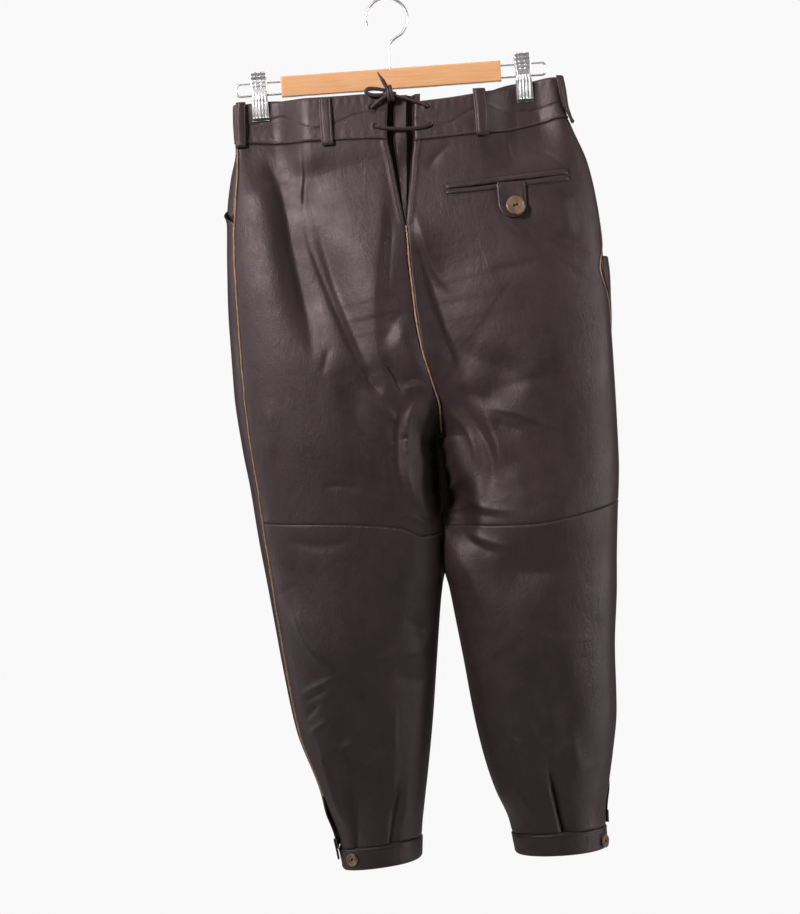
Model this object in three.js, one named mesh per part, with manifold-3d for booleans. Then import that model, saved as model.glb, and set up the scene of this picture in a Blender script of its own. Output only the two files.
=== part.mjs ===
// Leather knee-length lederhosen, hung by the waistband from a clip hanger.
// Millimetres, +Z up, +X to the wearer's right, -Y out of the garment's back, +Y out of its front.
// The origin is the point inside the top of the hanger's hook where a rail carries it.
// Every leather piece is a thin closed wall. The two leg loops give each level's outline, the
// panels are stretches of those loops, and what lies on a panel is made from the same points moved out.

import * as THREE from "three";
import { mergeVertices } from "three/addons/utils/BufferGeometryUtils.js";
import Module from "manifold-3d";

const wasm = await Module();
wasm.setup();

// ---------------------------------------------------------------- driving dimensions
const HOOK_RISE = 80; // rail to the top of the wooden bar
const BAR = { length: 253, height: 24, thick: 9 };
const WAIST_Z = -HOOK_RISE - 26; // the waist line, 2 below the bar
const CLIP_X = 152; // each clip's middle, from the middle of the bar

const LEATHER = 1.6; // one layer of garment leather
const BAND_WALL = 2.8; // the folded waistband
const CUFF_WALL = 2.6;
const SEAM_GAP = 0.3;
const PIPING = 2.0; // width of the tan edge laid into a seam
const PIPED_HALF = PIPING / 2 + SEAM_GAP; // half the room that a piped seam leaves

const V_FOOT = -154; // the foot of the laced opening, below the waist line
const CROTCH = -400;
const VENT_TOP = -800; // where each outer seam opens above the knee band
const MOUTH_FOOT = -141; // the lower end of the front pockets' mouths

// ---------------------------------------------------------------- smooth tables
// A smooth curve through a table's rows, without overshoot. Rows are in falling order of z or rising order of u.
function curve(rows, key, column) {
  const pts = rows.filter((r) => r[column] !== undefined).map((r) => [r[key], r[column]]);
  pts.sort((a, b) => a[0] - b[0]);
  const n = pts.length;
  const h = [];
  const d = [];
  for (let i = 0; i < n - 1; i++) {
    h.push(pts[i + 1][0] - pts[i][0]);
    d.push((pts[i + 1][1] - pts[i][1]) / h[i]);
  }
  const m = pts.map((_, i) => {
    if (i === 0) return d[0];
    if (i === n - 1) return d[n - 2];
    if (d[i - 1] * d[i] <= 0) return 0;
    const w1 = 2 * h[i] + h[i - 1];
    const w2 = h[i] + 2 * h[i - 1];
    return (w1 + w2) / (w1 / d[i - 1] + w2 / d[i]);
  });
  return (x) => {
    if (x <= pts[0][0]) return pts[0][1];
    if (x >= pts[n - 1][0]) return pts[n - 1][1];
    let i = 0;
    while (x > pts[i + 1][0]) i++;
    const t = (x - pts[i][0]) / h[i];
    const a = (1 + 2 * t) * (1 - t) * (1 - t);
    const b = t * (1 - t) * (1 - t);
    const c = t * t * (3 - 2 * t);
    const e = t * t * (t - 1);
    return a * pts[i][1] + b * h[i] * m[i] + c * pts[i + 1][1] + e * h[i] * m[i + 1];
  };
}

const mix = (a, b, t) => a + (b - a) * t;
const bell = (x) => Math.exp(-x * x);
const step = (a, b, x) => {
  const t = Math.min(1, Math.max(0, (x - a) / (b - a)));
  return t * t * (3 - 2 * t);
};
const linspace = (n) => Array.from({ length: n + 1 }, (_, i) => i / n);

// ---------------------------------------------------------------- the garment's form
// Common to both legs, by level: the centre seam's x, how far the two leg loops have parted
// (0 one shared loop at the waist, 1 two loops that touch), the back's and the front's y, and squareness.
const FORM = [
  { z: 2, seam: 11, parted: 0.0, back: -26, front: 26, square: 2.9 },
  { z: -52, seam: 6.3, parted: 0.02, back: -33, front: 28, square: 2.7 },
  { z: -100, seam: 5.6, parted: 0.06, back: -44, front: 34, square: 2.5 },
  { z: -150, seam: 4.5, parted: 0.1, back: -54, front: 40, square: 2.4 },
  { z: -230, seam: 6, parted: 0.2, back: -62, front: 46, square: 2.4 },
  { z: -295, seam: 11, parted: 0.42, back: -62, front: 50, square: 2.4 },
  { z: -338, seam: 21, parted: 0.66, back: -60, front: 52, square: 2.4 },
  { z: -372, seam: 28, parted: 0.87, back: -58, front: 53, square: 2.4 },
  { z: CROTCH, seam: 28, parted: 1, back: -57, front: 53, square: 2.4 },
  { z: -480, seam: 28, parted: 1, back: -56, front: 54, square: 2.35 },
  { z: -560, seam: 28, parted: 1, back: -54, front: 54, square: 2.3 },
  { z: -700, seam: 28, parted: 1, back: -52, front: 52, square: 2.25 },
  { z: -800, seam: 28, parted: 1, back: -50, front: 50, square: 2.2 },
  { z: -885, seam: 28, parted: 1, back: -49, front: 49, square: 2.1 },
];
// Each leg's own outline: the outer edge, the inner edge below the crotch, and the outer seam, which
// shows seamIn from the left leg's edge on the back, and keeps to a y of seamY round the right leg's edge.
const LEFT_ROWS = [
  { z: 2, outer: -182, seamIn: 3 },
  { z: -28, outer: -184, seamIn: 3 },
  { z: -54, outer: -184, seamIn: 2 },
  { z: -89, outer: -192, seamIn: 8 },
  { z: -122, outer: -198, seamIn: 10 },
  { z: -156, outer: -201, seamIn: 9 },
  { z: -194, outer: -203.5, seamIn: 10.5 },
  { z: -260, outer: -206, seamIn: 12.5 },
  { z: -330, outer: -206, seamIn: 13 },
  { z: CROTCH, outer: -201, inner: 26.4, seamIn: 11.5 },
  { z: -410, inner: 27.5 },
  { z: -440, outer: -196, inner: 26.9, seamIn: 10 },
  { z: -505, outer: -190, inner: 24.0, seamIn: 8.5 },
  { z: -548, outer: -185, inner: 20.5, seamIn: 7.5 },
  { z: -588, outer: -180.5, inner: 13.5, seamIn: 6.5 },
  { z: -656, outer: -173, inner: 3.8, seamIn: 5 },
  { z: -725, outer: -163, inner: -6, seamIn: 4 },
  { z: -784, outer: -144.5, inner: -16, seamIn: 2.5 },
  { z: -819, outer: -135, inner: -22.5, seamIn: 3.5 },
  { z: -845, outer: -127, inner: -27, seamIn: 4 },
  { z: -885, outer: -121, inner: -31, seamIn: 4 },
];
const RIGHT_ROWS = [
  { z: 2, outer: 193, seamY: 4 },
  { z: -28, outer: 194, seamY: 4 },
  { z: -54, outer: 202, seamY: 5 },
  { z: -100, outer: 218, seamY: 6 },
  { z: -136, outer: 224, seamY: 5 },
  { z: -158, seamY: 0 },
  { z: -171, outer: 227, seamY: -5 },
  { z: -192, seamY: -14 },
  { z: -212, outer: 227.5, seamY: -24 },
  { z: -224, seamY: -27 },
  { z: -240, outer: 229, seamY: -23 },
  { z: -258, seamY: -14 },
  { z: -280, outer: 231, seamY: -5 },
  { z: -305, seamY: 2 },
  { z: -344, outer: 230.8, seamY: 6 },
  { z: CROTCH, outer: 230, inner: 29.6, seamY: 6 },
  { z: -410, inner: 28.4 },
  { z: -440, outer: 229, inner: 27.8, seamY: 6 },
  { z: -505, outer: 223, inner: 24.9, seamY: 6 },
  { z: -548, outer: 219, inner: 21.5, seamY: 6 },
  { z: -589, outer: 216, inner: 26, seamY: 6 },
  { z: -654, outer: 209, inner: 34, seamY: 6 },
  { z: -728, outer: 205.5, inner: 42.5, seamY: 6 },
  { z: -774, outer: 198, inner: 50.5, seamY: 6 },
  { z: -808, outer: 191, inner: 59.5, seamY: 6 },
  { z: -845, outer: 184, inner: 73, seamY: 6 },
  { z: -885, outer: 183, inner: 79, seamY: 6 },
];
const form = Object.fromEntries(
  ["seam", "parted", "back", "front", "square"].map((c) => [c, curve(FORM, "z", c)]),
);

// The waistband's upper edge and its lower edge, by share of the way from centre back (0) over the
// outer seam (0.5) to centre front (1).
const LEFT_BAND = [
  { u: 0, top: -6, foot: -59 },
  { u: 0.05, top: -5, foot: -57 },
  { u: 0.13, top: -5, foot: -56 },
  { u: 0.3, top: -4, foot: -54 },
  { u: 0.4, top: -3, foot: -51 },
  { u: 0.5, top: -3, foot: -48 },
  { u: 0.62, top: -1, foot: -50 },
  { u: 0.8, top: -9, foot: -59 },
  { u: 1, top: -16, foot: -66 },
];
const RIGHT_BAND = [
  { u: 0, top: -18, foot: -63 },
  { u: 0.12, top: -15.5, foot: -61 },
  { u: 0.28, top: -8, foot: -57 },
  { u: 0.37, top: -2, foot: -51.5 },
  { u: 0.45, top: 1.5, foot: -46 },
  { u: 0.5, top: 1, foot: -47 },
  { u: 0.62, top: -1, foot: -50 },
  { u: 0.8, top: -9, foot: -59 },
  { u: 1, top: -16, foot: -66 },
];
// The thigh seam across each back panel and the knee band's upper edge, by share of the way from
// the inner seam (0) to the outer seam (1); the knee band's front half mirrors its back half.
const KNEE = [
  { u: 0, left: -508, right: -500 },
  { u: 0.2, left: -511, right: -502 },
  { u: 0.32, left: -500, right: -505 },
  { u: 0.48, left: -494, right: -506 },
  { u: 0.66, left: -490, right: -500 },
  { u: 0.85, left: -487, right: -491 },
  { u: 1, left: -484, right: -484 },
];
const CUFF_TOP = [
  { u: 0, left: -853, right: -858 },
  { u: 0.5, left: -856, right: -858 },
  { u: 1, left: -861, right: -857 },
];
const CUFF_HEIGHT = 24;

// The largest folds, as soft troughs (negative depth) and ridges along a bowed line in x and z.
// bow is how far the line's middle stands to the side of its chord.
const BACK_FOLDS = [
  { x0: -140, z0: -60, x1: -106, z1: -250, bow: 6, wide: 20, deep: -9 },
  { x0: -108, z0: -150, x1: -8, z1: -330, bow: -14, wide: 13, deep: -7.5 },
  { x0: -66, z0: -120, x1: -30, z1: -265, bow: 4, wide: 26, deep: 5 },
  { x0: -70, z0: -330, x1: -58, z1: -400, bow: 4, wide: 15, deep: -4 },
  { x0: -14, z0: -262, x1: 14, z1: -340, bow: 4, wide: 14, deep: 4.5 },
  { x0: -2, z0: -355, x1: 8, z1: -455, bow: -10, wide: 15, deep: 5 },
  { x0: 36, z0: -160, x1: 62, z1: -290, bow: -6, wide: 20, deep: 5 },
  { x0: 112, z0: -120, x1: 196, z1: -200, bow: 4, wide: 14, deep: -3 },
  { x0: 70, z0: -290, x1: 160, z1: -318, bow: -4, wide: 18, deep: -4 },
  { x0: 84, z0: -345, x1: 170, z1: -385, bow: 3, wide: 16, deep: 4 },
  { x0: 46, z0: -350, x1: 92, z1: -478, bow: 12, wide: 17, deep: -7.5 },
  { x0: 60, z0: -508, x1: 120, z1: -540, bow: 4, wide: 13, deep: 4 },
  { x0: -164, z0: -560, x1: -110, z1: -660, bow: 6, wide: 17, deep: 4 },
  { x0: 74, z0: -640, x1: 150, z1: -760, bow: -8, wide: 22, deep: -4.5 },
  { x0: -120, z0: -680, x1: -70, z1: -760, bow: 5, wide: 20, deep: -4 },
];
const FRONT_FOLDS = [
  { x0: -140, z0: -60, x1: -112, z1: -230, bow: -5, wide: 19, deep: -7.5 },
  { x0: 150, z0: -60, x1: 124, z1: -220, bow: 5, wide: 19, deep: -7.5 },
  { x0: -96, z0: -250, x1: 8, z1: -372, bow: -12, wide: 15, deep: -6 },
  { x0: 146, z0: -262, x1: 52, z1: -380, bow: 12, wide: 15, deep: -6 },
  { x0: -40, z0: -390, x1: -96, z1: -520, bow: 8, wide: 18, deep: 5 },
  { x0: 84, z0: -400, x1: 128, z1: -516, bow: -8, wide: 18, deep: 5 },
  { x0: -150, z0: -610, x1: -70, z1: -650, bow: 5, wide: 18, deep: -5 },
  { x0: 62, z0: -628, x1: 150, z1: -600, bow: 5, wide: 18, deep: -5 },
];
// The tucks let into the knee bands: x at the band and where the tuck dies out, and which side laps over.
const TUCKS = [
  { leg: "left", x0: -104, z0: -856, x1: -103, z1: -815, lap: 1 },
  { leg: "left", x0: -62, z0: -856, x1: -46, z1: -775, lap: -1 },
  { leg: "right", x0: 136, z0: -856, x1: 121, z1: -775, lap: 1 },
  { leg: "right", x0: 170, z0: -856, x1: 169, z1: -815, lap: -1 },
];
const TUCK_RISE = 3.2;
const TUCK_WIDE = 11;

// Signed distance from a bowed line, and the share of the way along it.
function alongLine(line, x, z) {
  const dx = line.x1 - line.x0;
  const dz = line.z1 - line.z0;
  const length = Math.hypot(dx, dz);
  const share = ((x - line.x0) * dx + (z - line.z0) * dz) / (length * length);
  const t = Math.min(1, Math.max(0, share));
  const bow = (line.bow ?? 0) * 4 * t * (1 - t);
  const off = ((x - line.x0) * dz - (z - line.z0) * dx) / length - bow;
  const past = (share - t) * length;
  return { share: t, off, past };
}

function foldHeight(x, z, onBack) {
  let sum = 0;
  for (const fold of onBack ? BACK_FOLDS : FRONT_FOLDS) {
    const { share, off, past } = alongLine(fold, x, z);
    const taper = Math.sqrt(Math.sin(Math.PI * Math.min(0.97, Math.max(0.03, share))));
    sum += fold.deep * taper * bell(off / fold.wide) * bell(past / fold.wide);
  }
  return sum;
}

function tuckHeight(leg, x, z) {
  let sum = 0;
  for (const tuck of TUCKS) {
    if (tuck.leg !== leg.name) continue;
    const { share, off } = alongLine(tuck, x, z);
    if (share > 1 || z < tuck.z0 - 4) continue;
    const across = (off * tuck.lap) / TUCK_WIDE;
    const fade = (1 - Math.max(0, share)) ** 0.7;
    if (across > 0) sum += TUCK_RISE * fade * Math.max(0, 1 - across);
    else sum -= TUCK_RISE * 0.5 * fade * bell(across * 3);
  }
  return sum;
}

// The clips press the waist's two sides together; the pinch dies out down the hips.
const PINCH = { y: 3.6, flat: 11.5, reach: 56, fadeFrom: -30, fadeTo: -118 };
function pinched(x, y, z) {
  const fade = 1 - step(PINCH.fadeFrom, PINCH.fadeTo, z);
  const near = 1 - step(PINCH.flat, PINCH.reach, Math.abs(Math.abs(x) - CLIP_X));
  const limit = Math.min(PINCH.y, Math.abs(y));
  return mix(y, Math.sign(y) * limit, fade * near);
}

const legs = [
  { name: "left", sign: -1, rows: LEFT_ROWS, band: LEFT_BAND },
  { name: "right", sign: 1, rows: RIGHT_ROWS, band: RIGHT_BAND },
];
for (const leg of legs) {
  leg.outer = curve(leg.rows, "z", "outer");
  leg.inner = curve(leg.rows, "z", "inner");
  leg.seamIn = leg.rows[0].seamIn === undefined ? null : curve(leg.rows, "z", "seamIn");
  leg.seamY = leg.rows[0].seamY === undefined ? null : curve(leg.rows, "z", "seamY");
  leg.bandTop = curve(leg.band, "u", "top");
  leg.bandFoot = curve(leg.band, "u", "foot");
  leg.knee = curve(KNEE, "u", leg.name);
  leg.cuffTop = curve(CUFF_TOP, "u", leg.name);
}
const [LEFT, RIGHT] = legs;

const RING_STEPS = 220;
const rings = new Map();

// One leg's loop at a level, from centre back (or the inner seam) round the outer side to centre
// front, as points with the length travelled; seamAt is the outer seam's place on it.
function ring(leg, z) {
  const id = leg.name + z.toFixed(3);
  if (rings.has(id)) return rings.get(id);
  const parted = z > CROTCH ? form.parted(z) : 1;
  const outer = leg.outer(z);
  const inner = z > CROTCH ? form.seam(z) + leg.sign * PIPED_HALF : leg.inner(z);
  const half = Math.abs(outer - inner) / (1 + parted);
  const middle = outer - leg.sign * half;
  const back = form.back(z);
  const front = form.front(z);
  const yMid = (back + front) / 2;
  const power = 2 / form.square(z);
  const from = Math.acos(parted ** (1 / power));
  const points = [];
  for (let i = 0; i <= RING_STEPS; i++) {
    const angle = from + (2 * Math.PI - 2 * from) * (i / RING_STEPS);
    const c = Math.cos(angle);
    const s = Math.sin(angle);
    const x = middle - leg.sign * half * Math.sign(c) * Math.abs(c) ** power;
    const reach = s > 0 ? back - yMid : front - yMid;
    const y = pinched(x, yMid + reach * Math.abs(s) ** power, z);
    points.push({ x, y, s: 0 });
  }
  for (let i = 1; i < points.length; i++) {
    const [a, b] = [points[i - 1], points[i]];
    b.s = a.s + Math.hypot(b.x - a.x, b.y - a.y);
  }
  const total = points[points.length - 1].s;
  const made = { points, total, yMid, outer };
  made.seamAt = leg.seamIn
    ? lengthAt(made, leg, outer - leg.sign * leg.seamIn(z), true)
    : lengthAtY(made, leg, leg.seamY(z));
  rings.set(id, made);
  return made;
}

// The length along a ring at which it passes a given x, on its back or on its front.
function lengthAt(made, leg, x, onBack) {
  const widest = made.points.reduce((best, p, i) =>
    leg.sign * p.x > leg.sign * made.points[best].x ? i : best, 0);
  const [first, last] = onBack ? [0, widest] : [widest, made.points.length - 1];
  for (let i = first; i < last; i++) {
    const a = made.points[i];
    const b = made.points[i + 1];
    if ((a.x - x) * (b.x - x) <= 0 && a.x !== b.x) return mix(a.s, b.s, (x - a.x) / (b.x - a.x));
  }
  return made.points[onBack ? 0 : widest].s;
}

// The length along a ring at which its outer end passes a given y.
function lengthAtY(made, leg, y) {
  const middleX = (made.points[0].x + made.outer) / 2;
  for (let i = 1; i < made.points.length; i++) {
    const a = made.points[i - 1];
    const b = made.points[i];
    const outside = leg.sign * (a.x - middleX) > 0;
    if (outside && a.y <= y && b.y >= y) return mix(a.s, b.s, (y - a.y) / (b.y - a.y || 1));
  }
  return made.total / 2;
}

// The point at a length along a ring, with the flat outward normal there.
function onRing(made, leg, s) {
  const points = made.points;
  let low = 0;
  let high = points.length - 1;
  while (high - low > 1) {
    const half = (low + high) >> 1;
    if (points[half].s <= s) low = half;
    else high = half;
  }
  const [a, b] = [points[low], points[high]];
  const t = (s - a.s) / (b.s - a.s || 1);
  const length = Math.hypot(b.x - a.x, b.y - a.y) || 1;
  const nx = (-(b.y - a.y) / length) * -leg.sign;
  const ny = ((b.x - a.x) / length) * -leg.sign;
  return { x: mix(a.x, b.x, t), y: mix(a.y, b.y, t), nx, ny };
}

// The point at a length s from a leg's centre back, carried on past the centre line into the other
// leg above the crotch, and round the leg below it.
function around(leg, z, s) {
  const made = ring(leg, z);
  if (s >= 0 && s <= made.total) return onRing(made, leg, s);
  if (z <= CROTCH) return onRing(made, leg, s < 0 ? s + made.total : s - made.total);
  const other = leg === LEFT ? RIGHT : LEFT;
  const beyond = ring(other, z);
  const past = s < 0 ? -s : s - made.total;
  const room = 2 * PIPED_HALF;
  const far = Math.max(0, past - room);
  const q = onRing(beyond, other, s < 0 ? far : beyond.total - far);
  if (past >= room) return q;
  const p = onRing(made, leg, s < 0 ? 0 : made.total);
  const t = past / room;
  return { x: mix(p.x, q.x, t), y: mix(p.y, q.y, t), nx: mix(p.nx, q.nx, t), ny: mix(p.ny, q.ny, t) };
}

// The leather's outer face at level z and length s, folds included, moved out by lift.
function skin(leg, z, s, lift = 0) {
  const p = around(leg, z, s);
  const facing = step(0.25, 0.75, Math.abs(p.ny));
  const free = 0.15 + 0.85 * step(-56, -86, z);
  let height = facing * free * foldHeight(p.x, z, p.ny < 0);
  height += facing * tuckHeight(leg, p.x, z) + lift;
  return new THREE.Vector3(p.x + p.nx * height, p.y + p.ny * height, z);
}

// The same by x instead of length, on the back.
function backAt(x, z, lift) {
  const leg = x < form.seam(z) ? LEFT : RIGHT;
  const made = ring(leg, z);
  const nearCentre = Math.abs(x - form.seam(z)) <= PIPED_HALF;
  return skin(leg, z, nearCentre ? -PIPED_HALF : lengthAt(made, leg, x, true), lift);
}

// ---------------------------------------------------------------- solids from grids
function turnedOut(positions, faces) {
  const geometry = new THREE.BufferGeometry();
  geometry.setAttribute("position", new THREE.Float32BufferAttribute(positions, 3));
  const at = (i) => new THREE.Vector3().fromArray(positions, 3 * i);
  let volume = 0;
  for (let i = 0; i < faces.length; i += 3)
    volume += at(faces[i]).dot(at(faces[i + 1]).cross(at(faces[i + 2])));
  if (volume < 0) for (let i = 0; i < faces.length; i += 3) {
    [faces[i + 1], faces[i + 2]] = [faces[i + 2], faces[i + 1]];
  }
  geometry.setIndex(faces);
  return geometry;
}

// A closed wall between an outer and an inner grid of the same size, grid[row][column].
function between(outer, inner) {
  const rows = outer.length;
  const cols = outer[0].length;
  const positions = [...outer, ...inner].flat().flatMap((p) => [p.x, p.y, p.z]);
  const count = rows * cols;
  const faces = [];
  const quad = (a, b, c, d) => faces.push(a, b, c, a, c, d);
  const id = (r, c) => r * cols + c;
  for (let r = 0; r < rows - 1; r++) {
    for (let c = 0; c < cols - 1; c++) {
      const [a, b, d, e] = [id(r, c), id(r, c + 1), id(r + 1, c + 1), id(r + 1, c)];
      quad(a, b, d, e);
      quad(count + a, count + e, count + d, count + b);
    }
  }
  const rim = [];
  for (let c = 0; c < cols; c++) rim.push(id(0, c));
  for (let r = 1; r < rows; r++) rim.push(id(r, cols - 1));
  for (let c = cols - 2; c >= 0; c--) rim.push(id(rows - 1, c));
  for (let r = rows - 2; r > 0; r--) rim.push(id(r, 0));
  rim.forEach((a, i) => {
    const b = rim[(i + 1) % rim.length];
    quad(b, a, count + a, count + b);
  });
  return turnedOut(positions, faces);
}

// A wall over a grid of shares: place gives z, s and lift of the outer face at each one. Columns
// crowd towards u = 0 where crowd is over 1.
function laid(leg, cols, rows, thick, place, crowd = 1) {
  const us = linspace(cols).map((u) => u ** crowd);
  const vs = typeof rows === "number" ? linspace(rows) : rows.map((_, i) => i);
  const face = (depth) => vs.map((v) => us.map((u) => {
    const { z, s, lift = 0 } = place(u, v);
    return skin(leg, z, s, lift - depth);
  }));
  return between(face(0), face(thick));
}

// A point of a finished panel's outer face at x and z on the back, moved out by lift.
function onPanel(geometry, leg, x, z, lift) {
  const mesh = new THREE.Mesh(geometry, new THREE.MeshBasicMaterial({ side: THREE.DoubleSide }));
  const ray = new THREE.Raycaster(new THREE.Vector3(x, -300, z), new THREE.Vector3(0, 1, 0));
  const hit = ray.intersectObject(mesh)[0].point;
  const made = ring(leg, z);
  const p = onRing(made, leg, lengthAt(made, leg, x, true));
  return hit.add(new THREE.Vector3(p.nx * lift, p.ny * lift, 0));
}

// A strip lying on a back panel, between an upper and a lower edge of [x, z] corners.
function stripOn(panel, leg, upper, lower, cols, lift, thick) {
  const face = (depth) => linspace(1).map((v) => linspace(cols).map((u) => {
    const a = curvePoint(upper, u);
    const b = curvePoint(lower, u);
    return onPanel(panel, leg, mix(a[0], b[0], v), mix(a[1], b[1], v), lift - depth);
  }));
  return between(face(0), face(thick));
}

function curvePoint(edge, u) {
  const t = u * (edge.length - 1);
  const i = Math.min(edge.length - 2, Math.floor(t));
  return [mix(edge[i][0], edge[i + 1][0], t - i), mix(edge[i][1], edge[i + 1][1], t - i)];
}

// A cord or wire of even section through a line of points, with closed flat ends.
function swept(stops, radius, sides) {
  const n = stops.length;
  const tangents = stops.map((_, i) =>
    stops[Math.min(n - 1, i + 1)].clone().sub(stops[Math.max(0, i - 1)]).normalize());
  let across = new THREE.Vector3(0, 1, 0);
  if (Math.abs(tangents[0].y) > 0.9) across = new THREE.Vector3(0, 0, 1);
  const positions = [];
  const faces = [];
  stops.forEach((p, i) => {
    const t = tangents[i];
    across = across.clone().addScaledVector(t, -across.dot(t)).normalize();
    const other = t.clone().cross(across);
    for (let k = 0; k < sides; k++) {
      const a = (2 * Math.PI * k) / sides;
      const q = p.clone().addScaledVector(across, Math.cos(a) * radius);
      q.addScaledVector(other, Math.sin(a) * radius);
      positions.push(q.x, q.y, q.z);
    }
  });
  for (let i = 0; i < n - 1; i++) {
    for (let k = 0; k < sides; k++) {
      const a = i * sides + k;
      const b = i * sides + ((k + 1) % sides);
      faces.push(a, b, b + sides, a, b + sides, a + sides);
    }
  }
  for (let k = 1; k < sides - 1; k++) {
    const end = (n - 1) * sides;
    faces.push(0, k + 1, k, end, end + k, end + k + 1);
  }
  return turnedOut(positions, faces);
}

// ---------------------------------------------------------------- cuts and joins
function toManifold(geometry) {
  const g = geometry.clone();
  g.deleteAttribute("normal");
  g.deleteAttribute("uv");
  const m = mergeVertices(g, 1e-4);
  const mesh = new wasm.Mesh({
    numProp: 3,
    vertProperties: new Float32Array(m.attributes.position.array),
    triVerts: new Uint32Array(m.index.array),
  });
  return new wasm.Manifold(mesh);
}

function fromManifold(solid) {
  const mesh = solid.getMesh();
  const geometry = new THREE.BufferGeometry();
  geometry.setAttribute("position", new THREE.Float32BufferAttribute(mesh.vertProperties, 3));
  geometry.setIndex(Array.from(mesh.triVerts));
  return geometry;
}

const cut = (from, ...tools) =>
  fromManifold(tools.reduce((solid, tool) => solid.subtract(toManifold(tool)), toManifold(from)));
const joined = (first, ...rest) =>
  fromManifold(rest.reduce((solid, more) => solid.add(toManifold(more)), toManifold(first)));

// A round bar between two points.
function rod(a, b, radius, sides = 16) {
  const g = new THREE.CylinderGeometry(radius, radius, a.distanceTo(b), sides);
  const turn = new THREE.Quaternion();
  turn.setFromUnitVectors(new THREE.Vector3(0, 1, 0), b.clone().sub(a).normalize());
  g.applyQuaternion(turn);
  const mid = a.clone().add(b).multiplyScalar(0.5);
  return g.translate(mid.x, mid.y, mid.z);
}

function box(x0, x1, y0, y1, z0, z1) {
  const g = new THREE.BoxGeometry(x1 - x0, y1 - y0, z1 - z0);
  return g.translate((x0 + x1) / 2, (y0 + y1) / 2, (z0 + z1) / 2);
}

const v3 = (x, y, z) => new THREE.Vector3(x, y, z);

// ---------------------------------------------------------------- materials and nodes
const MATERIALS = {
  leather: { color: 0x3f3236, roughness: 0.55 },
  lining: { color: 0x1d1a1b, roughness: 0.8 },
  piping: { color: 0xc79766, roughness: 0.7 },
  horn: { color: 0x8a6a50, roughness: 0.45 },
  wood: { color: 0xe0a063, roughness: 0.5 },
  chrome: { color: 0xd6d8da, roughness: 0.15, metalness: 1 },
};
for (const key of Object.keys(MATERIALS)) {
  MATERIALS[key] = new THREE.MeshStandardMaterial({ name: key, ...MATERIALS[key] });
}
const group = new THREE.Group();
group.name = "leather_breeches_on_hanger";

function add(name, geometry, material = "leather") {
  const mesh = new THREE.Mesh(geometry, MATERIALS[material]);
  mesh.name = name;
  group.add(mesh);
}

// A garment piece: its z is measured from the waist line.
function sew(name, geometry, material) {
  add(name, geometry.translate(0, 0, WAIST_Z), material);
}

// ---------------------------------------------------------------- leg panels
// Level lists, waist to knee band: at the outer seam, on the back's centre line and on the front's.
// null stands for the curved edge at that end.
const OUTER_LEVELS = [null, -70, -92, -108, -120, -131, -142, -158, -176, -192, -208, -224, -240,
  -258, -280, -305, -328, -347, -362, -375, -386, -394, -400.5, -415, -445, null];
const BACK_LEVELS = [null, -80, -103, -120, -136, -154, -168, -182, -197, -214, -232, -250, -268,
  -288, -310, -332, -350, -364, -376, -386, -394, -399.9, -412, -440, -472, null];
const LOWER_LEVELS = [-520, -560, -605, -655, -705, -752, -790, -800, -822, -842];
const FRONT_LEVELS = [null, -84, -102, -118, -130, -142, -155, -170, -187, -203, -219, -235, -252,
  -271, -292, -314, -334, -350, -364, -376, -386, -394, -399.9, -416, -448, -488];
const BACK_COLUMNS = 15;
const EDGE_GAP = 0.4; // between the panels and the bands above and below them

// How far the two halves of the back stand from the centre line in the laced opening.
const OPENING = [
  { z: 4, half: 14.3 },
  { z: -56, half: 15.7 },
  { z: -85, half: 11.5 },
  { z: -115, half: 7.5 },
  { z: V_FOOT, half: PIPED_HALF },
];
const openingHalf = curve(OPENING, "z", "half");
const backEdge = (z) => (z > CROTCH ? openingHalf(z) - PIPED_HALF : SEAM_GAP / 2);
const frontEdge = (leg, z) => ring(leg, z).total - (z > CROTCH ? 0 : SEAM_GAP / 2);

// The front pockets' mouths: how far the front panel's edge stands from the outer seam.
const MOUTH = [
  { z: -46, from: 68 },
  { z: -75, from: 65 },
  { z: -95, from: 59 },
  { z: -110, from: 49 },
  { z: -120, from: 37 },
  { z: -128, from: 24 },
  { z: -135, from: 11 },
  { z: MOUTH_FOOT, from: PIPED_HALF },
  { z: -200, from: PIPED_HALF },
];
const mouth = curve(MOUTH, "z", "from");
const MOUTH_STANDS = { left: 5, right: 3 }; // the mouth's edge stands off the hip

function bandShare(leg, z, s) {
  const made = ring(leg, z);
  return s < made.seamAt ? (0.5 * s) / made.seamAt : 0.5 + (0.5 * (s - made.seamAt)) / (made.total - made.seamAt);
}

function backUpper(leg) {
  const last = OUTER_LEVELS.length - 1;
  return laid(leg, BACK_COLUMNS, OUTER_LEVELS, LEATHER, (u, row) => {
    let z = 0;
    if (row === 0) z = leg.bandFoot(u / 2) - EDGE_GAP;
    else if (row === last) z = leg.knee(u) + SEAM_GAP / 2;
    else z = mix(BACK_LEVELS[row], OUTER_LEVELS[row], u);
    return { z, s: mix(backEdge(z), ring(leg, z).seamAt - PIPED_HALF, u) };
  });
}

function backLower(leg) {
  const rows = [null, ...LOWER_LEVELS, null];
  return laid(leg, BACK_COLUMNS, rows, LEATHER, (u, row) => {
    let z = rows[row];
    if (row === 0) z = leg.knee(u) - SEAM_GAP / 2;
    else if (row === 1) z = mix(-538, -520, u);
    else if (row === rows.length - 1) z = leg.cuffTop(u) + EDGE_GAP;
    return { z, s: mix(SEAM_GAP / 2, ring(leg, z).seamAt - PIPED_HALF, u) };
  });
}

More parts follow.
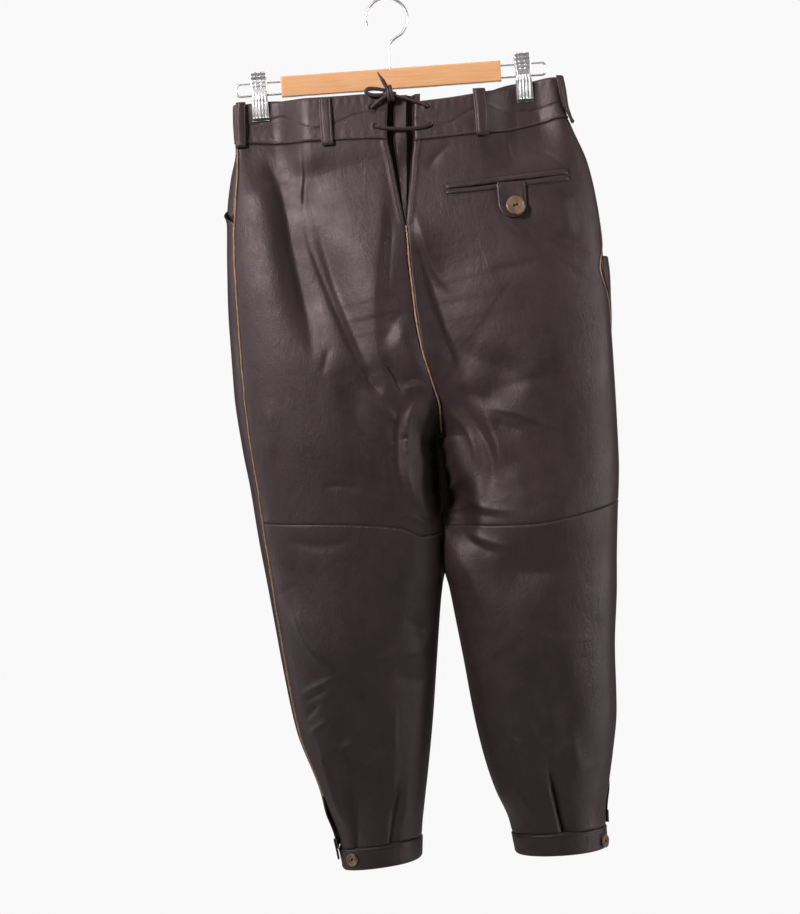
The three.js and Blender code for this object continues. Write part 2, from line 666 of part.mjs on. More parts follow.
function frontPanel(leg) {
  const outer = [...OUTER_LEVELS.slice(0, -1), -484, ...LOWER_LEVELS, null];
  const centre = [...FRONT_LEVELS, ...LOWER_LEVELS.map((z) => z), null];
  return laid(leg, 14, outer, LEATHER, (u, row) => {
    let z = 0;
    const w = 1 - u;
    if (row === outer.length - 1) z = leg.cuffTop(w) + EDGE_GAP;
    else z = mix(outer[row] ?? -50, centre[row] ?? -66, u);
    const made = ring(leg, z);
    const s = mix(made.seamAt + mouth(z), frontEdge(leg, z), u);
    if (row === 0) z = leg.bandFoot(bandShare(leg, z, s)) - EDGE_GAP;
    const off = (s - made.seamAt - mouth(z)) / 24;
    const near = MOUTH_STANDS[leg.name] * bell((z + 123) / 12) * bell(off);
    return { z, s, lift: near + ventStands(leg, z, s) };
  }, 1.3);
}

// The hip piece lies flush by the outer seam and sinks behind the front panel's mouth edge.
function hip(leg) {
  const foot = MOUTH_FOOT - 12;
  const behind = -(LEATHER + 1.1);
  return laid(leg, 6, 9, LEATHER, (u, v) => {
    let z = mix(-50, foot, v);
    const made = ring(leg, z);
    const from = PIPED_HALF;
    const flush = Math.max(from + 0.5, mouth(z) - 9);
    const hidden = Math.max(from + 1, mouth(z) - 2.5);
    const sunkAll = 1 - step(7, 18, mouth(z));
    const column = Math.round(u * 6);
    let out = mix(from, flush, column / 3);
    if (column === 4) out = hidden;
    if (column === 5) out = Math.max(hidden + 4, mouth(z) + 4);
    if (column === 6) out = Math.max(hidden + 9, mouth(z) + 12);
    const s = made.seamAt + out;
    if (v === 0) z = leg.bandFoot(bandShare(leg, z, s)) - EDGE_GAP;
    return { z, s, lift: (behind - 0.8 * sunkAll) * (column > 3 ? 1 : sunkAll) };
  });
}

for (const leg of legs) {
  sew(`back_upper_${leg.name}`, backUpper(leg));
  sew(`back_lower_${leg.name}`, backLower(leg));
  sew(`front_${leg.name}`, frontPanel(leg));
  sew(`hip_${leg.name}`, hip(leg));
}

// ---------------------------------------------------------------- piping
const PIPING_RISE = 0.7;
for (const leg of legs) {
  const rows = [...OUTER_LEVELS.slice(0, -1), -484, ...LOWER_LEVELS.slice(0, 8)];
  rows[0] = leg.bandFoot(0.5) - EDGE_GAP;
  const strip = laid(leg, 1, rows, PIPING_RISE + LEATHER, (u, row) => {
    const z = rows[row];
    return { z, s: ring(leg, z).seamAt + mix(-1, 1, u) * (PIPING / 2), lift: PIPING_RISE };
  });
  sew(`piping_side_${leg.name}`, strip, "piping");
}

// The centre seam's piping runs from the laced opening under the crotch and up to the fly.
const FLY_FOOT = -205;
function centrePoint(z, onBack) {
  const [a, b] = legs.map((leg) => {
    const made = ring(leg, z);
    return onRing(made, leg, onBack ? 0 : made.total);
  });
  return v3(form.seam(z), (a.y + b.y) / 2, z);
}
function centrePiping() {
  const down = [V_FOOT - 6, ...BACK_LEVELS.slice(6, 22)];
  const up = FRONT_LEVELS.slice(10, 22).reverse();
  const line = [
    ...down.map((z) => centrePoint(z, true)),
    ...up.map((z) => centrePoint(z, false)),
    centrePoint(FLY_FOOT - 1, false),
  ];
  const face = (depth) => line.map((p, i) => {
    const a = line[Math.max(0, i - 1)];
    const b = line[Math.min(line.length - 1, i + 1)];
    const along = b.clone().sub(a).normalize();
    const out = v3(0, along.z, -along.y).normalize();
    const q = p.clone().addScaledVector(out, PIPING_RISE - depth);
    return [v3(q.x - PIPING / 2, q.y, q.z), v3(q.x + PIPING / 2, q.y, q.z)];
  });
  return between(face(0), face(PIPING_RISE + LEATHER));
}
sew("piping_centre", centrePiping(), "piping");

// ---------------------------------------------------------------- waistband
const BAND_RISE = 1.0; // the band stands this far proud of the panels
const LAP_UNDER = 17; // the left end laps this far over the right one at centre front
function waistband(leg) {
  return laid(leg, 34, 2, BAND_WALL, (u, v) => {
    const z = mix(leg.bandTop(u), leg.bandFoot(u), v);
    const made = ring(leg, z);
    const end = made.total + (leg === LEFT ? LAP_UNDER : -SEAM_GAP);
    const s = u < 0.5
      ? mix(backEdge(z), made.seamAt, u / 0.5)
      : mix(made.seamAt, end, (u - 0.5) / 0.5);
    const over = leg === LEFT ? step(-16, -3, s - made.total) : 0;
    return { z, s, lift: BAND_RISE + (BAND_WALL + EDGE_GAP) * over };
  });
}
// The punched holes that take the lace, as x and z on the back.
const HOLES = [
  { name: "left_upper", x: -24.5, z: -21 },
  { name: "left_lower", x: -21.5, z: -43.2 },
  { name: "right_upper", x: 38.7, z: -24.6 },
  { name: "right_lower", x: 40.5, z: -46.6 },
];
const HOLE_R = 2.7;
function punch(hole) {
  return rod(v3(hole.x, -60, hole.z), v3(hole.x, -10, hole.z), HOLE_R, 12);
}
for (const leg of legs) {
  const own = HOLES.filter((hole) => hole.name.startsWith(leg.name));
  sew(`waistband_${leg.name}`, cut(waistband(leg), ...own.map(punch)));
}

// ---------------------------------------------------------------- gusset behind the laced opening
const GUSSET = { top: -9, foot: V_FOOT - 14, margin: 7, pleat: 5.5 };
function gusset() {
  return laid(LEFT, 12, 6, 1.2, (u, v) => {
    const z = mix(GUSSET.top, GUSSET.foot, v);
    const half = openingHalf(z) + GUSSET.margin;
    const q = mix(-1, 1, u);
    const open = (openingHalf(z) - PIPED_HALF) / 12;
    const inside = Math.max(0, 1 - Math.abs(q) * (half / (openingHalf(z) + 1)));
    const waves = Math.abs(Math.sin(Math.PI * 1.5 * inside));
    const lift = -(LEATHER + 0.8) - GUSSET.pleat * open * waves;
    return { z, s: q * half - PIPED_HALF, lift };
  });
}
sew("gusset", gusset());

// ---------------------------------------------------------------- belt loops
// Each loop's middle: on the back by x, at the sides and front by share of the half waist.
const LOOP = { wide: 14.5, thick: 1.8, stands: 3.2 };
const LOOPS = [
  { name: "side_left", leg: LEFT, share: 0.485, top: -1, foot: -53 },
  { name: "back_left", leg: LEFT, x: -77, top: -6, foot: -61 },
  { name: "front_left", leg: LEFT, share: 0.76, top: -5, foot: -62 },
  { name: "side_right", leg: RIGHT, share: 0.475, top: 3, foot: -52 },
  { name: "back_right", leg: RIGHT, x: 98, top: -8, foot: -62.5 },
  { name: "front_right", leg: RIGHT, share: 0.76, top: -5, foot: -62 },
];
function beltLoop(loop) {
  const { leg } = loop;
  return laid(leg, loop.name.startsWith("side") ? 4 : 2, 6, LOOP.thick, (u, v) => {
    const z = mix(loop.top, loop.foot, v);
    const made = ring(leg, z);
    const share = loop.share ?? 0;
    let middle = share < 0.5
      ? mix(backEdge(z), made.seamAt, share / 0.5)
      : mix(made.seamAt, made.total, (share - 0.5) / 0.5);
    if (loop.x !== undefined) middle = lengthAt(made, leg, loop.x, true);
    const bowed = LOOP.stands * Math.sin(Math.PI * v) ** 0.6;
    const s = middle + mix(-0.5, 0.5, u) * LOOP.wide;
    return { z, s, lift: BAND_RISE + EDGE_GAP + (loop.name.startsWith("side") ? 0.5 : 0) + LOOP.thick + bowed };
  });
}
for (const loop of LOOPS) sew(`belt_loop_${loop.name}`, beltLoop(loop));

// ---------------------------------------------------------------- fly
const FLY = { reach: 36, over: 6 };
const flyPiece = laid(LEFT, 5, 8, LEATHER, (u, v) => {
  const z = mix(-67.5, FLY_FOOT, v);
  const made = ring(LEFT, z);
  const reach = FLY.reach * Math.sqrt(Math.max(0.02, 1 - v ** 4));
  return { z, s: made.total + mix(-reach, FLY.over, u), lift: SEAM_GAP + PIPING_RISE + LEATHER };
});
sew("fly", flyPiece);

// ---------------------------------------------------------------- back pocket
const POCKET_UPPER = [[52, -116.7], [87, -114.2], [122, -111.8], [158, -109.4], [193.5, -107]];
const POCKET_SLIT = [[52, -121.8], [87, -120], [122, -117.6], [158, -115.4], [193.5, -112.4]];
const POCKET_LOWER = [[52, -127.8], [87, -127], [122, -125], [158, -123], [193.5, -120.4]];
const lowered = (edge, by) => edge.map(([x, z]) => [x, z - by]);
const WELT = 1.5;
const WELT_RISE = 0.85;
const pocketPanel = backUpper(RIGHT);
sew("pocket_welt_upper", stripOn(pocketPanel, RIGHT, POCKET_UPPER, POCKET_SLIT, 28, WELT_RISE + WELT, WELT));
sew("pocket_welt_lower", stripOn(pocketPanel, RIGHT, lowered(POCKET_SLIT, 1.6), POCKET_LOWER, 28, WELT_RISE + WELT, WELT));

const TAB = { x: 126, half: 15.8, top: -118.8, foot: -159.5, thick: 1.6 };
const TAB_RISE = WELT_RISE + WELT + 0.5;
function pocketTab() {
  const face = (depth) => linspace(8).map((v) => linspace(4).map((u) => {
    const z = mix(TAB.top, TAB.foot, v);
    const past = Math.max(0, (TAB.foot + TAB.half - z) / TAB.half);
    const half = TAB.half * Math.sqrt(Math.max(0.03, 1 - past * past));
    return onPanel(pocketPanel, RIGHT, TAB.x + mix(-half, half, u), z, TAB_RISE + TAB.thick - depth);
  }));
  return between(face(0), face(TAB.thick));
}
sew("pocket_tab", pocketTab());

// ---------------------------------------------------------------- buttons
// A horn disc with a dished face and a slot across its middle.
function button(diameter, thick) {
  const r = diameter / 2;
  const profile = [
    [0, 0], [r * 0.86, 0], [r, thick * 0.4], [r * 0.97, thick * 0.85], [r * 0.86, thick],
    [r * 0.66, thick * 0.78], [0, thick * 0.7],
  ];
  const disc = new THREE.LatheGeometry(profile.map(([x, y]) => new THREE.Vector2(x, y)), 14);
  disc.rotateX(Math.PI / 2);
  const slot = box(-r * 0.28, r * 0.28, -r * 0.07, r * 0.07, thick * 0.35, thick * 2);
  return cut(disc, slot);
}
// Set a button's flat back on a face: at a point, facing along a normal, its slot turned by roll.
function setButton(geometry, at, normal, roll) {
  geometry.rotateZ(roll);
  const turn = new THREE.Quaternion().setFromUnitVectors(v3(0, 0, 1), normal);
  geometry.applyQuaternion(turn);
  return geometry.translate(at.x, at.y, at.z);
}
function onFace(leg, z, s, lift) {
  const at = skin(leg, z, s, lift);
  const along = skin(leg, z, s + 4, lift).sub(skin(leg, z, s - 4, lift));
  const down = skin(leg, z - 4, s, lift).sub(skin(leg, z + 4, s, lift));
  const normal = along.cross(down).normalize().multiplyScalar(-leg.sign);
  return { at, normal };
}
const tabButtonZ = -147.3;
const tabFace = onFace(RIGHT, tabButtonZ, lengthAt(ring(RIGHT, tabButtonZ), RIGHT, 128.7, true),
  TAB_RISE + TAB.thick + 1.7);
sew("pocket_button", setButton(button(22.5, 4), tabFace.at, tabFace.normal, 0.3), "horn");
const waistZ = -38;
const waistFace = onFace(LEFT, waistZ, ring(LEFT, waistZ).total + 6,
  BAND_RISE + BAND_WALL + EDGE_GAP + SEAM_GAP);
sew("waist_button", setButton(button(17, 3.4), waistFace.at, waistFace.normal, 0), "horn");

// ---------------------------------------------------------------- knee bands
const CUFF = { lap: 12, rise: 0.9 };
const CUFF_BUTTONS = { left: { from: 26, drop: 10 }, right: { from: 38, drop: 16 } };
function cuff(leg) {
  return laid(leg, 34, 2, CUFF_WALL, (u, v) => {
    const made = ring(leg, leg.cuffTop(1));
    const start = made.seamAt + CUFF.lap; // the back's end, carried over the front's
    const end = made.seamAt - made.total - CUFF.lap; // the front's end, carried under the back's
    const s0 = mix(start, end, u);
    const round = Math.abs(s0 + (s0 < 0 ? made.total : 0)) / made.seamAt;
    const w = Math.min(1, round > 1 ? (made.total / made.seamAt - round) : round);
    const top = leg.cuffTop(Math.max(0, w)) - EDGE_GAP;
    const z = top - CUFF_HEIGHT * v;
    const here = ring(leg, z);
    const s = s0 * (here.total / made.total);
    const under = 1 - step(8, 30, s0 - end);
    return { z, s, lift: CUFF.rise - (CUFF_WALL + EDGE_GAP) * under };
  });
}
for (const leg of legs) {
  sew(`cuff_${leg.name}`, cuff(leg));
  const spot = CUFF_BUTTONS[leg.name];
  const z = leg.cuffTop(1) - spot.drop;
  const { at, normal } = onFace(leg, z, ring(leg, z).seamAt - spot.from + 6, CUFF.rise + SEAM_GAP + 0.5);
  sew(`cuff_button_${leg.name}`, setButton(button(15, 3.2), at, normal, 0.6), "horn");
}

// How far the front's edge stands off in the open vent above the knee band.
function ventStands(leg, z, s) {
  return 4.5 * step(VENT_TOP + 10, -826, z) * bell((s - ring(leg, z).seamAt) / 12);
}

// The facing behind each outer vent, and the small tongue on the front's vent edge.
const TONGUES = { left: { top: 11, foot: -12 }, right: { top: 13, foot: -1 } };
for (const leg of legs) {
  const tongue = laid(leg, 1, 3, 1.8, (u, v) => {
    const z = leg.cuffTop(1) + mix(TONGUES[leg.name].top, TONGUES[leg.name].foot, v);
    const s = ring(leg, z).seamAt + 4 + 7 * u;
    return { z, s, lift: ventStands(leg, z, s) + EDGE_GAP + 1.8 };
  });
  sew(`cuff_tongue_${leg.name}`, tongue);
  const facing = laid(leg, 3, 5, 1.2, (u, v) => {
    const z = mix(VENT_TOP + 4, leg.cuffTop(1) + EDGE_GAP, v);
    const made = ring(leg, z);
    return { z, s: made.seamAt + mix(-9, 12, u), lift: -(LEATHER + 0.5) };
  });
  sew(`vent_facing_${leg.name}`, facing, "lining");
}

// ---------------------------------------------------------------- knife pocket on the right thigh
const KNIFE = { top: -208, foot: -362, wide: 48, stands: 4.6 };
const knifePocket = laid(RIGHT, 8, 11, LEATHER, (u, v) => {
  const z = mix(KNIFE.top, KNIFE.foot, v);
  const made = ring(RIGHT, z);
  const loose = KNIFE.stands * bell((z - KNIFE.top) / 62) * Math.sin(Math.PI * u) ** 0.6;
  return { z, s: made.seamAt + 2.2 + KNIFE.wide * u, lift: SEAM_GAP + LEATHER + loose };
});
sew("knife_pocket", knifePocket);

// ---------------------------------------------------------------- lace
const LACE_R = 1.7;
// Stops by x, z and lift over the panels: through the upper left hole, down inside, out of the lower
// left one, across, in at the lower right and out of the upper right, both ends meeting in the knot.
const LACE = [
  { x: -6, z: -8, lift: 4.4 },
  { x: -13, z: -14, lift: 3.6 },
  { x: -19.5, z: -18.6, lift: 3.5 },
  { x: -23.6, z: -20.6, lift: 3.4 },
  { x: -24.6, z: -21, lift: 1.8 },
  { x: -24.6, z: -21, lift: -2.6 },
  { x: -24.4, z: -22.4, lift: -4.6 },
  { x: -23.4, z: -30, lift: -5 },
  { x: -22, z: -41.6, lift: -4.6 },
  { x: -21.5, z: -43.2, lift: -2.6 },
  { x: -21.5, z: -43.2, lift: 1.8 },
  { x: -20.4, z: -43.8, lift: 3.5 },
  { x: -14, z: -45.8, lift: 3.7 },
  { x: -4, z: -47.8, lift: 3.6 },
  { x: 10, z: -49, lift: 3.5 },
  { x: 24, z: -49.2, lift: 3.6 },
  { x: 34, z: -48.2, lift: 3.8 },
  { x: 39.6, z: -46.9, lift: 3.5 },
  { x: 40.5, z: -46.6, lift: 1.8 },
  { x: 40.5, z: -46.6, lift: -2.6 },
  { x: 40.3, z: -45, lift: -4.6 },
  { x: 39.6, z: -36, lift: -5 },
  { x: 38.9, z: -26.2, lift: -4.6 },
  { x: 38.7, z: -24.6, lift: -2.6 },
  { x: 38.7, z: -24.6, lift: 1.8 },
  { x: 37.6, z: -24, lift: 3.5 },
  { x: 30, z: -20.4, lift: 3.9 },
  { x: 18, z: -15.5, lift: 4.2 },
  { x: 6, z: -11, lift: 4.8 },
  { x: 0, z: -8.5, lift: 5 },
];
const lacePoint = ({ x, z, lift }) => {
  const p = backAt(x, Math.min(z, 1), 0);
  return v3(p.x, p.y - lift, z);
};
const LOOP_STOPS = [
  { x: -4, z: -7, lift: 5.6 },
  { x: -13, z: -9.2, lift: 6 },
  { x: -24, z: -8.2, lift: 6.2 },
  { x: -29, z: -5, lift: 6.4 },
  { x: -25, z: -1.2, lift: 6.6 },
  { x: -14, z: -2.6, lift: 6.8 },
  { x: -5, z: -4.4, lift: 6.4 },
];
const UP_TAIL = [
  { x: -3, z: -8, lift: 6 },
  { x: -6, z: -1, lift: 8.4 },
  { x: -9.6, z: 7, lift: 9.6 },
  { x: -15, z: 16.5, lift: 10 },
];
const DOWN_TAIL = [
  { x: -1.5, z: -8, lift: 4.6 },
  { x: 1.6, z: -15, lift: 2.2 },
  { x: 2.6, z: -25, lift: 0.2 },
  { x: 3.4, z: -33, lift: -0.6 },
];
function lace() {
  const cord = (stops, r = LACE_R) => swept(stops.map(lacePoint), r, 6);
  const knot = new THREE.SphereGeometry(1, 10, 6);
  knot.scale(5, 3.6, 6.4);
  const k = lacePoint({ x: -3, z: -7.6, lift: 5.6 });
  knot.rotateY(0.4).translate(k.x, k.y, k.z);
  return joined(cord(LACE), knot, cord(LOOP_STOPS, 1.5), cord(UP_TAIL, 1.5), cord(DOWN_TAIL, 1.4));
}
sew("lace", lace());

// ---------------------------------------------------------------- hanger
const HOOK_R = 1.6;
const FRAME_R = 1.3;
const BORE = 0.12; // play round a wire in its bore
const BAR_MID = -HOOK_RISE - BAR.height / 2;
const WIRES = [BAR_MID + 6.5, BAR_MID - 7.5];
const FRAME_END = 178;

function roundedBar() {
  const [h, t, c] = [BAR.height / 2, BAR.thick / 2, 2.6];
  const outline = new THREE.Shape([
    [-t, -h + c], [-t + c * 0.35, -h + c * 0.35], [-t + c, -h], [t - c, -h],
    [t - c * 0.35, -h + c * 0.35], [t, -h + c], [t, h - c], [t - c * 0.35, h - c * 0.35],
    [t - c, h], [-t + c, h], [-t + c * 0.35, h - c * 0.35], [-t, h - c],
  ].map(([y, z]) => new THREE.Vector2(y, z)));
  const g = new THREE.ExtrudeGeometry(outline, { depth: BAR.length, bevelEnabled: false });
  g.rotateY(Math.PI / 2).rotateX(Math.PI / 2);
  return g.translate(-BAR.length / 2, 0, BAR_MID);
}
const WIRE_START = BAR.length / 2 - 34;
const bores = WIRES.flatMap((z) => [-1, 1].map((side) =>
  rod(v3(side * (WIRE_START - 0.4), 0, z), v3(side * 140, 0, z), FRAME_R + BORE, 12)));
const STEM_FOOT = BAR_MID - 3;
const stemBore = rod(v3(0, 0, STEM_FOOT - 0.3), v3(0, 0, 0), HOOK_R + BORE, 12);
add("hanger_bar", cut(roundedBar(), ...bores, stemBore), "wood");

// Each end's wire is bent to a narrow loop whose two ends stand in the bar.
function frameWire(side) {
  const [top, foot] = WIRES;
  const corner = 4.5;
  const start = WIRE_START;
  const stops = [v3(side * start, 0, top)];
  for (const [centreZ, angles] of [[top - corner, [90, 60, 30, 0]], [foot + corner, [0, -30, -60, -90]]]) {
    for (const deg of angles) {
      const a = (deg * Math.PI) / 180;
      const x = FRAME_END - corner + corner * Math.cos(a);
      stops.push(v3(side * x, 0, centreZ + corner * Math.sin(a)));
    }
  }
  stops.push(v3(side * start, 0, foot));
  return swept(stops, FRAME_R, 8);
}
add("hanger_wire_left", frameWire(-1), "chrome");
add("hanger_wire_right", frameWire(1), "chrome");

// The hook's stem stands in the bar, bends to one side and turns over the rail.
const HOOK_BEND = 24;
function hook() {
  const stops = [v3(0, 0, STEM_FOOT), v3(0, 0, -58), v3(0.9, 0, -53.4), v3(3.6, 0, -49), v3(8.4, 0, -45.2)];
  for (let deg = -52; deg <= 196; deg += 15.5) {
    const a = (deg * Math.PI) / 180;
    const z = HOOK_R - HOOK_BEND + HOOK_BEND * Math.sin(a);
    stops.push(v3(HOOK_BEND * Math.cos(a), 0, z));
  }
  return swept(stops, HOOK_R, 8);
}
add("hook", hook(), "chrome");

// The clips: a body that slides on the two wires, and a jaw on each side of the waistband.
const CLIP = { wide: 19, top: -74, foot: -130, sheet: 1.3 };
const JAW_FACE = PINCH.y + BAND_RISE + SEAM_GAP + 0.25; // the jaw's inner face at the waistband
// A jaw's inner face from its thumb grip down to its lip, as y and z.
const JAW = [
  [8.2, CLIP.top], [6.8, -79], [5.2, -84], [5, -98], [5.2, -103], [JAW_FACE + 1.6, -110],
  [JAW_FACE + 0.6, -122], [JAW_FACE, -126], [JAW_FACE, CLIP.foot],
];
function jaw(side) {
  const inner = JAW.map(([y, z]) => new THREE.Vector2(y, z));
  const outer = JAW.map(([y, z]) => new THREE.Vector2(y + CLIP.sheet, z)).reverse();
  const g = new THREE.ExtrudeGeometry(new THREE.Shape([...inner, ...outer]), {
    depth: CLIP.wide, bevelEnabled: false,
  });
  const m = new THREE.Matrix4();
  m.set(0, 0, 1, -CLIP.wide / 2, side, 0, 0, 0, 0, 1, 0, 0, 0, 0, 0, 1);
  g.applyMatrix4(m);
  return mirrorFixed(g);
}
function mirrorFixed(geometry) {
  const g = geometry.clone();
  g.deleteAttribute("normal");
  g.deleteAttribute("uv");
  const merged = mergeVertices(g, 1e-4);
  return turnedOut(Array.from(merged.attributes.position.array), Array.from(merged.index.array));
}
for (const [name, x] of [["left", -CLIP_X], ["right", CLIP_X]]) {
  const body = box(x - 7.5, x + 7.5, -4.6, 4.6, -103, -83.5);
  const holes = WIRES.map((z) => rod(v3(x - 20, 0, z), v3(x + 20, 0, z), FRAME_R + BORE, 12));
  add(`clip_body_${name}`, cut(body, ...holes), "chrome");
  add(`clip_jaw_back_${name}`, jaw(-1).translate(x, 0, 0), "chrome");
  add(`clip_jaw_front_${name}`, jaw(1).translate(x, 0, 0), "chrome");
}

export default group;
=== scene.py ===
"""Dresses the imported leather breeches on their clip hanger.

Garment shapes are in millimetres with z measured from the waist line, in the same axes as the CAD;
build() turns them into metres in the frame. Each panel is a fine grid over a stretch of one leg's loop.
"""

import math

import bpy
import numpy as np
from mathutils import Matrix, Vector


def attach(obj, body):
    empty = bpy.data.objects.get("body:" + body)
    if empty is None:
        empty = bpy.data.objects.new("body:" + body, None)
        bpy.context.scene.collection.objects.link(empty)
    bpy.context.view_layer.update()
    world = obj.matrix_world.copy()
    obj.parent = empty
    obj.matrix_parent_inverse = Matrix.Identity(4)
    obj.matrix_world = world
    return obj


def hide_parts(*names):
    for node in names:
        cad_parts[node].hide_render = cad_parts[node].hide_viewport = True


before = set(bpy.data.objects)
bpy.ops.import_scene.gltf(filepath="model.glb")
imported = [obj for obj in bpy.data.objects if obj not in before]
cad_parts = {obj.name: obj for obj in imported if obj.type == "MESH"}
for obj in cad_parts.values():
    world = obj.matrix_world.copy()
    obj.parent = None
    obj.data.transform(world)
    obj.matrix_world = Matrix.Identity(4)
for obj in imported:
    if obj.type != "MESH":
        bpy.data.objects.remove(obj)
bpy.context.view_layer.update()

# ---------------------------------------------------------------- camera, light and stage
scene = bpy.context.scene
VIEW_X, VIEW_Z, VIEW_FAR, VIEW_ROLL = -0.0215, -0.526, 2.6, math.radians(-4.2)
camera = bpy.data.objects.new("camera", bpy.data.cameras.new("camera"))
camera.data.sensor_fit = "VERTICAL"
camera.data.sensor_height = 36
camera.data.lens = 89.05
camera.matrix_world = (
    Matrix.Translation((VIEW_X, -VIEW_FAR, VIEW_Z))
    @ Matrix.Rotation(math.radians(90), 4, "X")
    @ Matrix.Rotation(VIEW_ROLL, 4, "Z")
)
scene.collection.objects.link(camera)
scene.camera = camera
scene.view_settings.view_transform = "Standard"
scene.view_settings.look = "None"


def area_light(name, at, aim, size, watts, colour=(1, 1, 1), spread=180):
    """A rectangular lamp at a place in metres, turned to aim."""
    light = bpy.data.lights.new(name, "AREA")
    light.shape = "RECTANGLE"
    light.size, light.size_y = size
    light.energy = watts
    light.spread = math.radians(spread)
    light.color = colour
    lamp = bpy.data.objects.new(name, light)
    lamp.location = at
    lamp.rotation_euler = (Vector(aim) - Vector(at)).to_track_quat("-Z", "Y").to_euler()
    scene.collection.objects.link(lamp)


area_light("key", (-1.25, -1.6, 0.62), (0.14, 0, -0.28), (0.4, 0.4), 4.3, (1, 0.965, 0.965), 48)
area_light("side_right", (1.9, -0.2, -0.4), (0.15, 0, -0.5), (0.4, 1.6), 15, (1, 0.97, 0.97))
area_light("edge_right", (1.75, -1.05, -0.5), (0.22, 0, -0.5), (0.3, 1.5), 0.3, (1, 0.97, 0.97), 18)
area_light("side_left", (-1.9, 0.1, -0.3), (-0.15, 0, -0.6), (0.5, 1.6), 12)
area_light("top", (0.1, 0.1, 1.5), (0, 0, -0.3), (1.4, 1.0), 8)
area_light("behind", (0.3, 2.2, 0.2), (0, 0, -0.5), (1.6, 1.6), 30)

world = bpy.data.worlds.new("studio")
scene.world = world
world.use_nodes = True
tree = world.node_tree
tree.nodes.clear()
out = tree.nodes.new("ShaderNodeOutputWorld")
mixer = tree.nodes.new("ShaderNodeMixShader")
rays = tree.nodes.new("ShaderNodeLightPath")
seen = tree.nodes.new("ShaderNodeBackground")
seen.inputs["Color"].default_value = (0.955, 0.945, 0.95, 1)
ambient = tree.nodes.new("ShaderNodeBackground")
ambient.inputs["Color"].default_value = (1, 0.99, 1, 1)
ambient.inputs["Strength"].default_value = 0.095
tree.links.new(rays.outputs["Is Camera Ray"], mixer.inputs["Fac"])
tree.links.new(ambient.outputs[0], mixer.inputs[1])
tree.links.new(seen.outputs[0], mixer.inputs[2])
tree.links.new(mixer.outputs[0], out.inputs["Surface"])

# ---------------------------------------------------------------- sizes shared with the CAD
WAIST_Z = -106
CLIP_X = 152
LEATHER, BAND_WALL, CUFF_WALL = 1.6, 2.8, 2.6
SEAM_GAP = 0.3
PIPING = 2.0
PIPED_HALF = PIPING / 2 + SEAM_GAP
V_FOOT, CROTCH, VENT_TOP, MOUTH_FOOT = -154, -400, -800, -141
EDGE_GAP = 0.4
BAND_RISE = 1.0
FLY_FOOT = -205
CUFF_HEIGHT = 24


# ---------------------------------------------------------------- smooth tables
def curve(xs, ys):
    """A smooth curve through a table's rows, without overshoot."""
    order = np.argsort(xs)
    x, y = np.array(xs, float)[order], np.array(ys, float)[order]
    h = np.diff(x)
    d = np.diff(y) / h
    m = np.zeros(len(x))
    m[0], m[-1] = d[0], d[-1]
    for i in range(1, len(x) - 1):
        if d[i - 1] * d[i] > 0:
            w1, w2 = 2 * h[i] + h[i - 1], h[i] + 2 * h[i - 1]
            m[i] = (w1 + w2) / (w1 / d[i - 1] + w2 / d[i])

    def at(q):
        q = np.clip(q, x[0], x[-1])
        i = np.clip(np.searchsorted(x, q, side="right") - 1, 0, len(x) - 2)
        t = (q - x[i]) / h[i]
        a = (1 + 2 * t) * (1 - t) ** 2 * y[i] + t * (1 - t) ** 2 * h[i] * m[i]
        return a + t * t * (3 - 2 * t) * y[i + 1] + t * t * (t - 1) * h[i] * m[i + 1]

    return at


def columns(names, rows):
    """Curves by name from a table whose first column is the place; None leaves a gap."""
    made = {}
    for k, name in enumerate(names.split(), 1):
        kept = [r for r in rows if len(r) > k and r[k] is not None]
        made[name] = curve([r[0] for r in kept], [r[k] for r in kept])
    return made


def bell(x):
    return np.exp(-np.square(x))


def step(a, b, x):
    t = np.clip((x - a) / (b - a), 0, 1)
    return t * t * (3 - 2 * t)


def mix(a, b, t):
    return a + (b - a) * t


form = columns("seam parted back front square", [
    (2, 11, 0.0, -26, 26, 2.9), (-52, 6.3, 0.02, -33, 28, 2.7), (-100, 5.6, 0.06, -44, 34, 2.5),
    (-150, 4.5, 0.1, -54, 40, 2.4), (-230, 6, 0.2, -62, 46, 2.4), (-295, 11, 0.42, -62, 50, 2.4),
    (-338, 21, 0.66, -60, 52, 2.4), (-372, 28, 0.87, -58, 53, 2.4), (-400, 28, 1, -57, 53, 2.4),
    (-480, 28, 1, -56, 54, 2.35), (-560, 28, 1, -54, 54, 2.3), (-700, 28, 1, -52, 52, 2.25),
    (-800, 28, 1, -50, 50, 2.2), (-885, 28, 1, -49, 49, 2.1),
])
LEFT_ROWS = [
    (2, -182, None, 3), (-28, -184, None, 3), (-54, -184, None, 2), (-89, -192, None, 8),
    (-122, -198, None, 10), (-156, -201, None, 9), (-194, -203.5, None, 10.5),
    (-260, -206, None, 12.5), (-330, -206, None, 13), (-400, -201, 26.4, 11.5), (-410, None, 27.5),
    (-440, -196, 26.9, 10), (-505, -190, 24, 8.5), (-548, -185, 20.5, 7.5),
    (-588, -180.5, 13.5, 6.5), (-656, -173, 3.8, 5), (-725, -163, -6, 4), (-784, -144.5, -16, 2.5),
    (-819, -135, -22.5, 3.5), (-845, -127, -27, 4), (-885, -121, -31, 4),
]
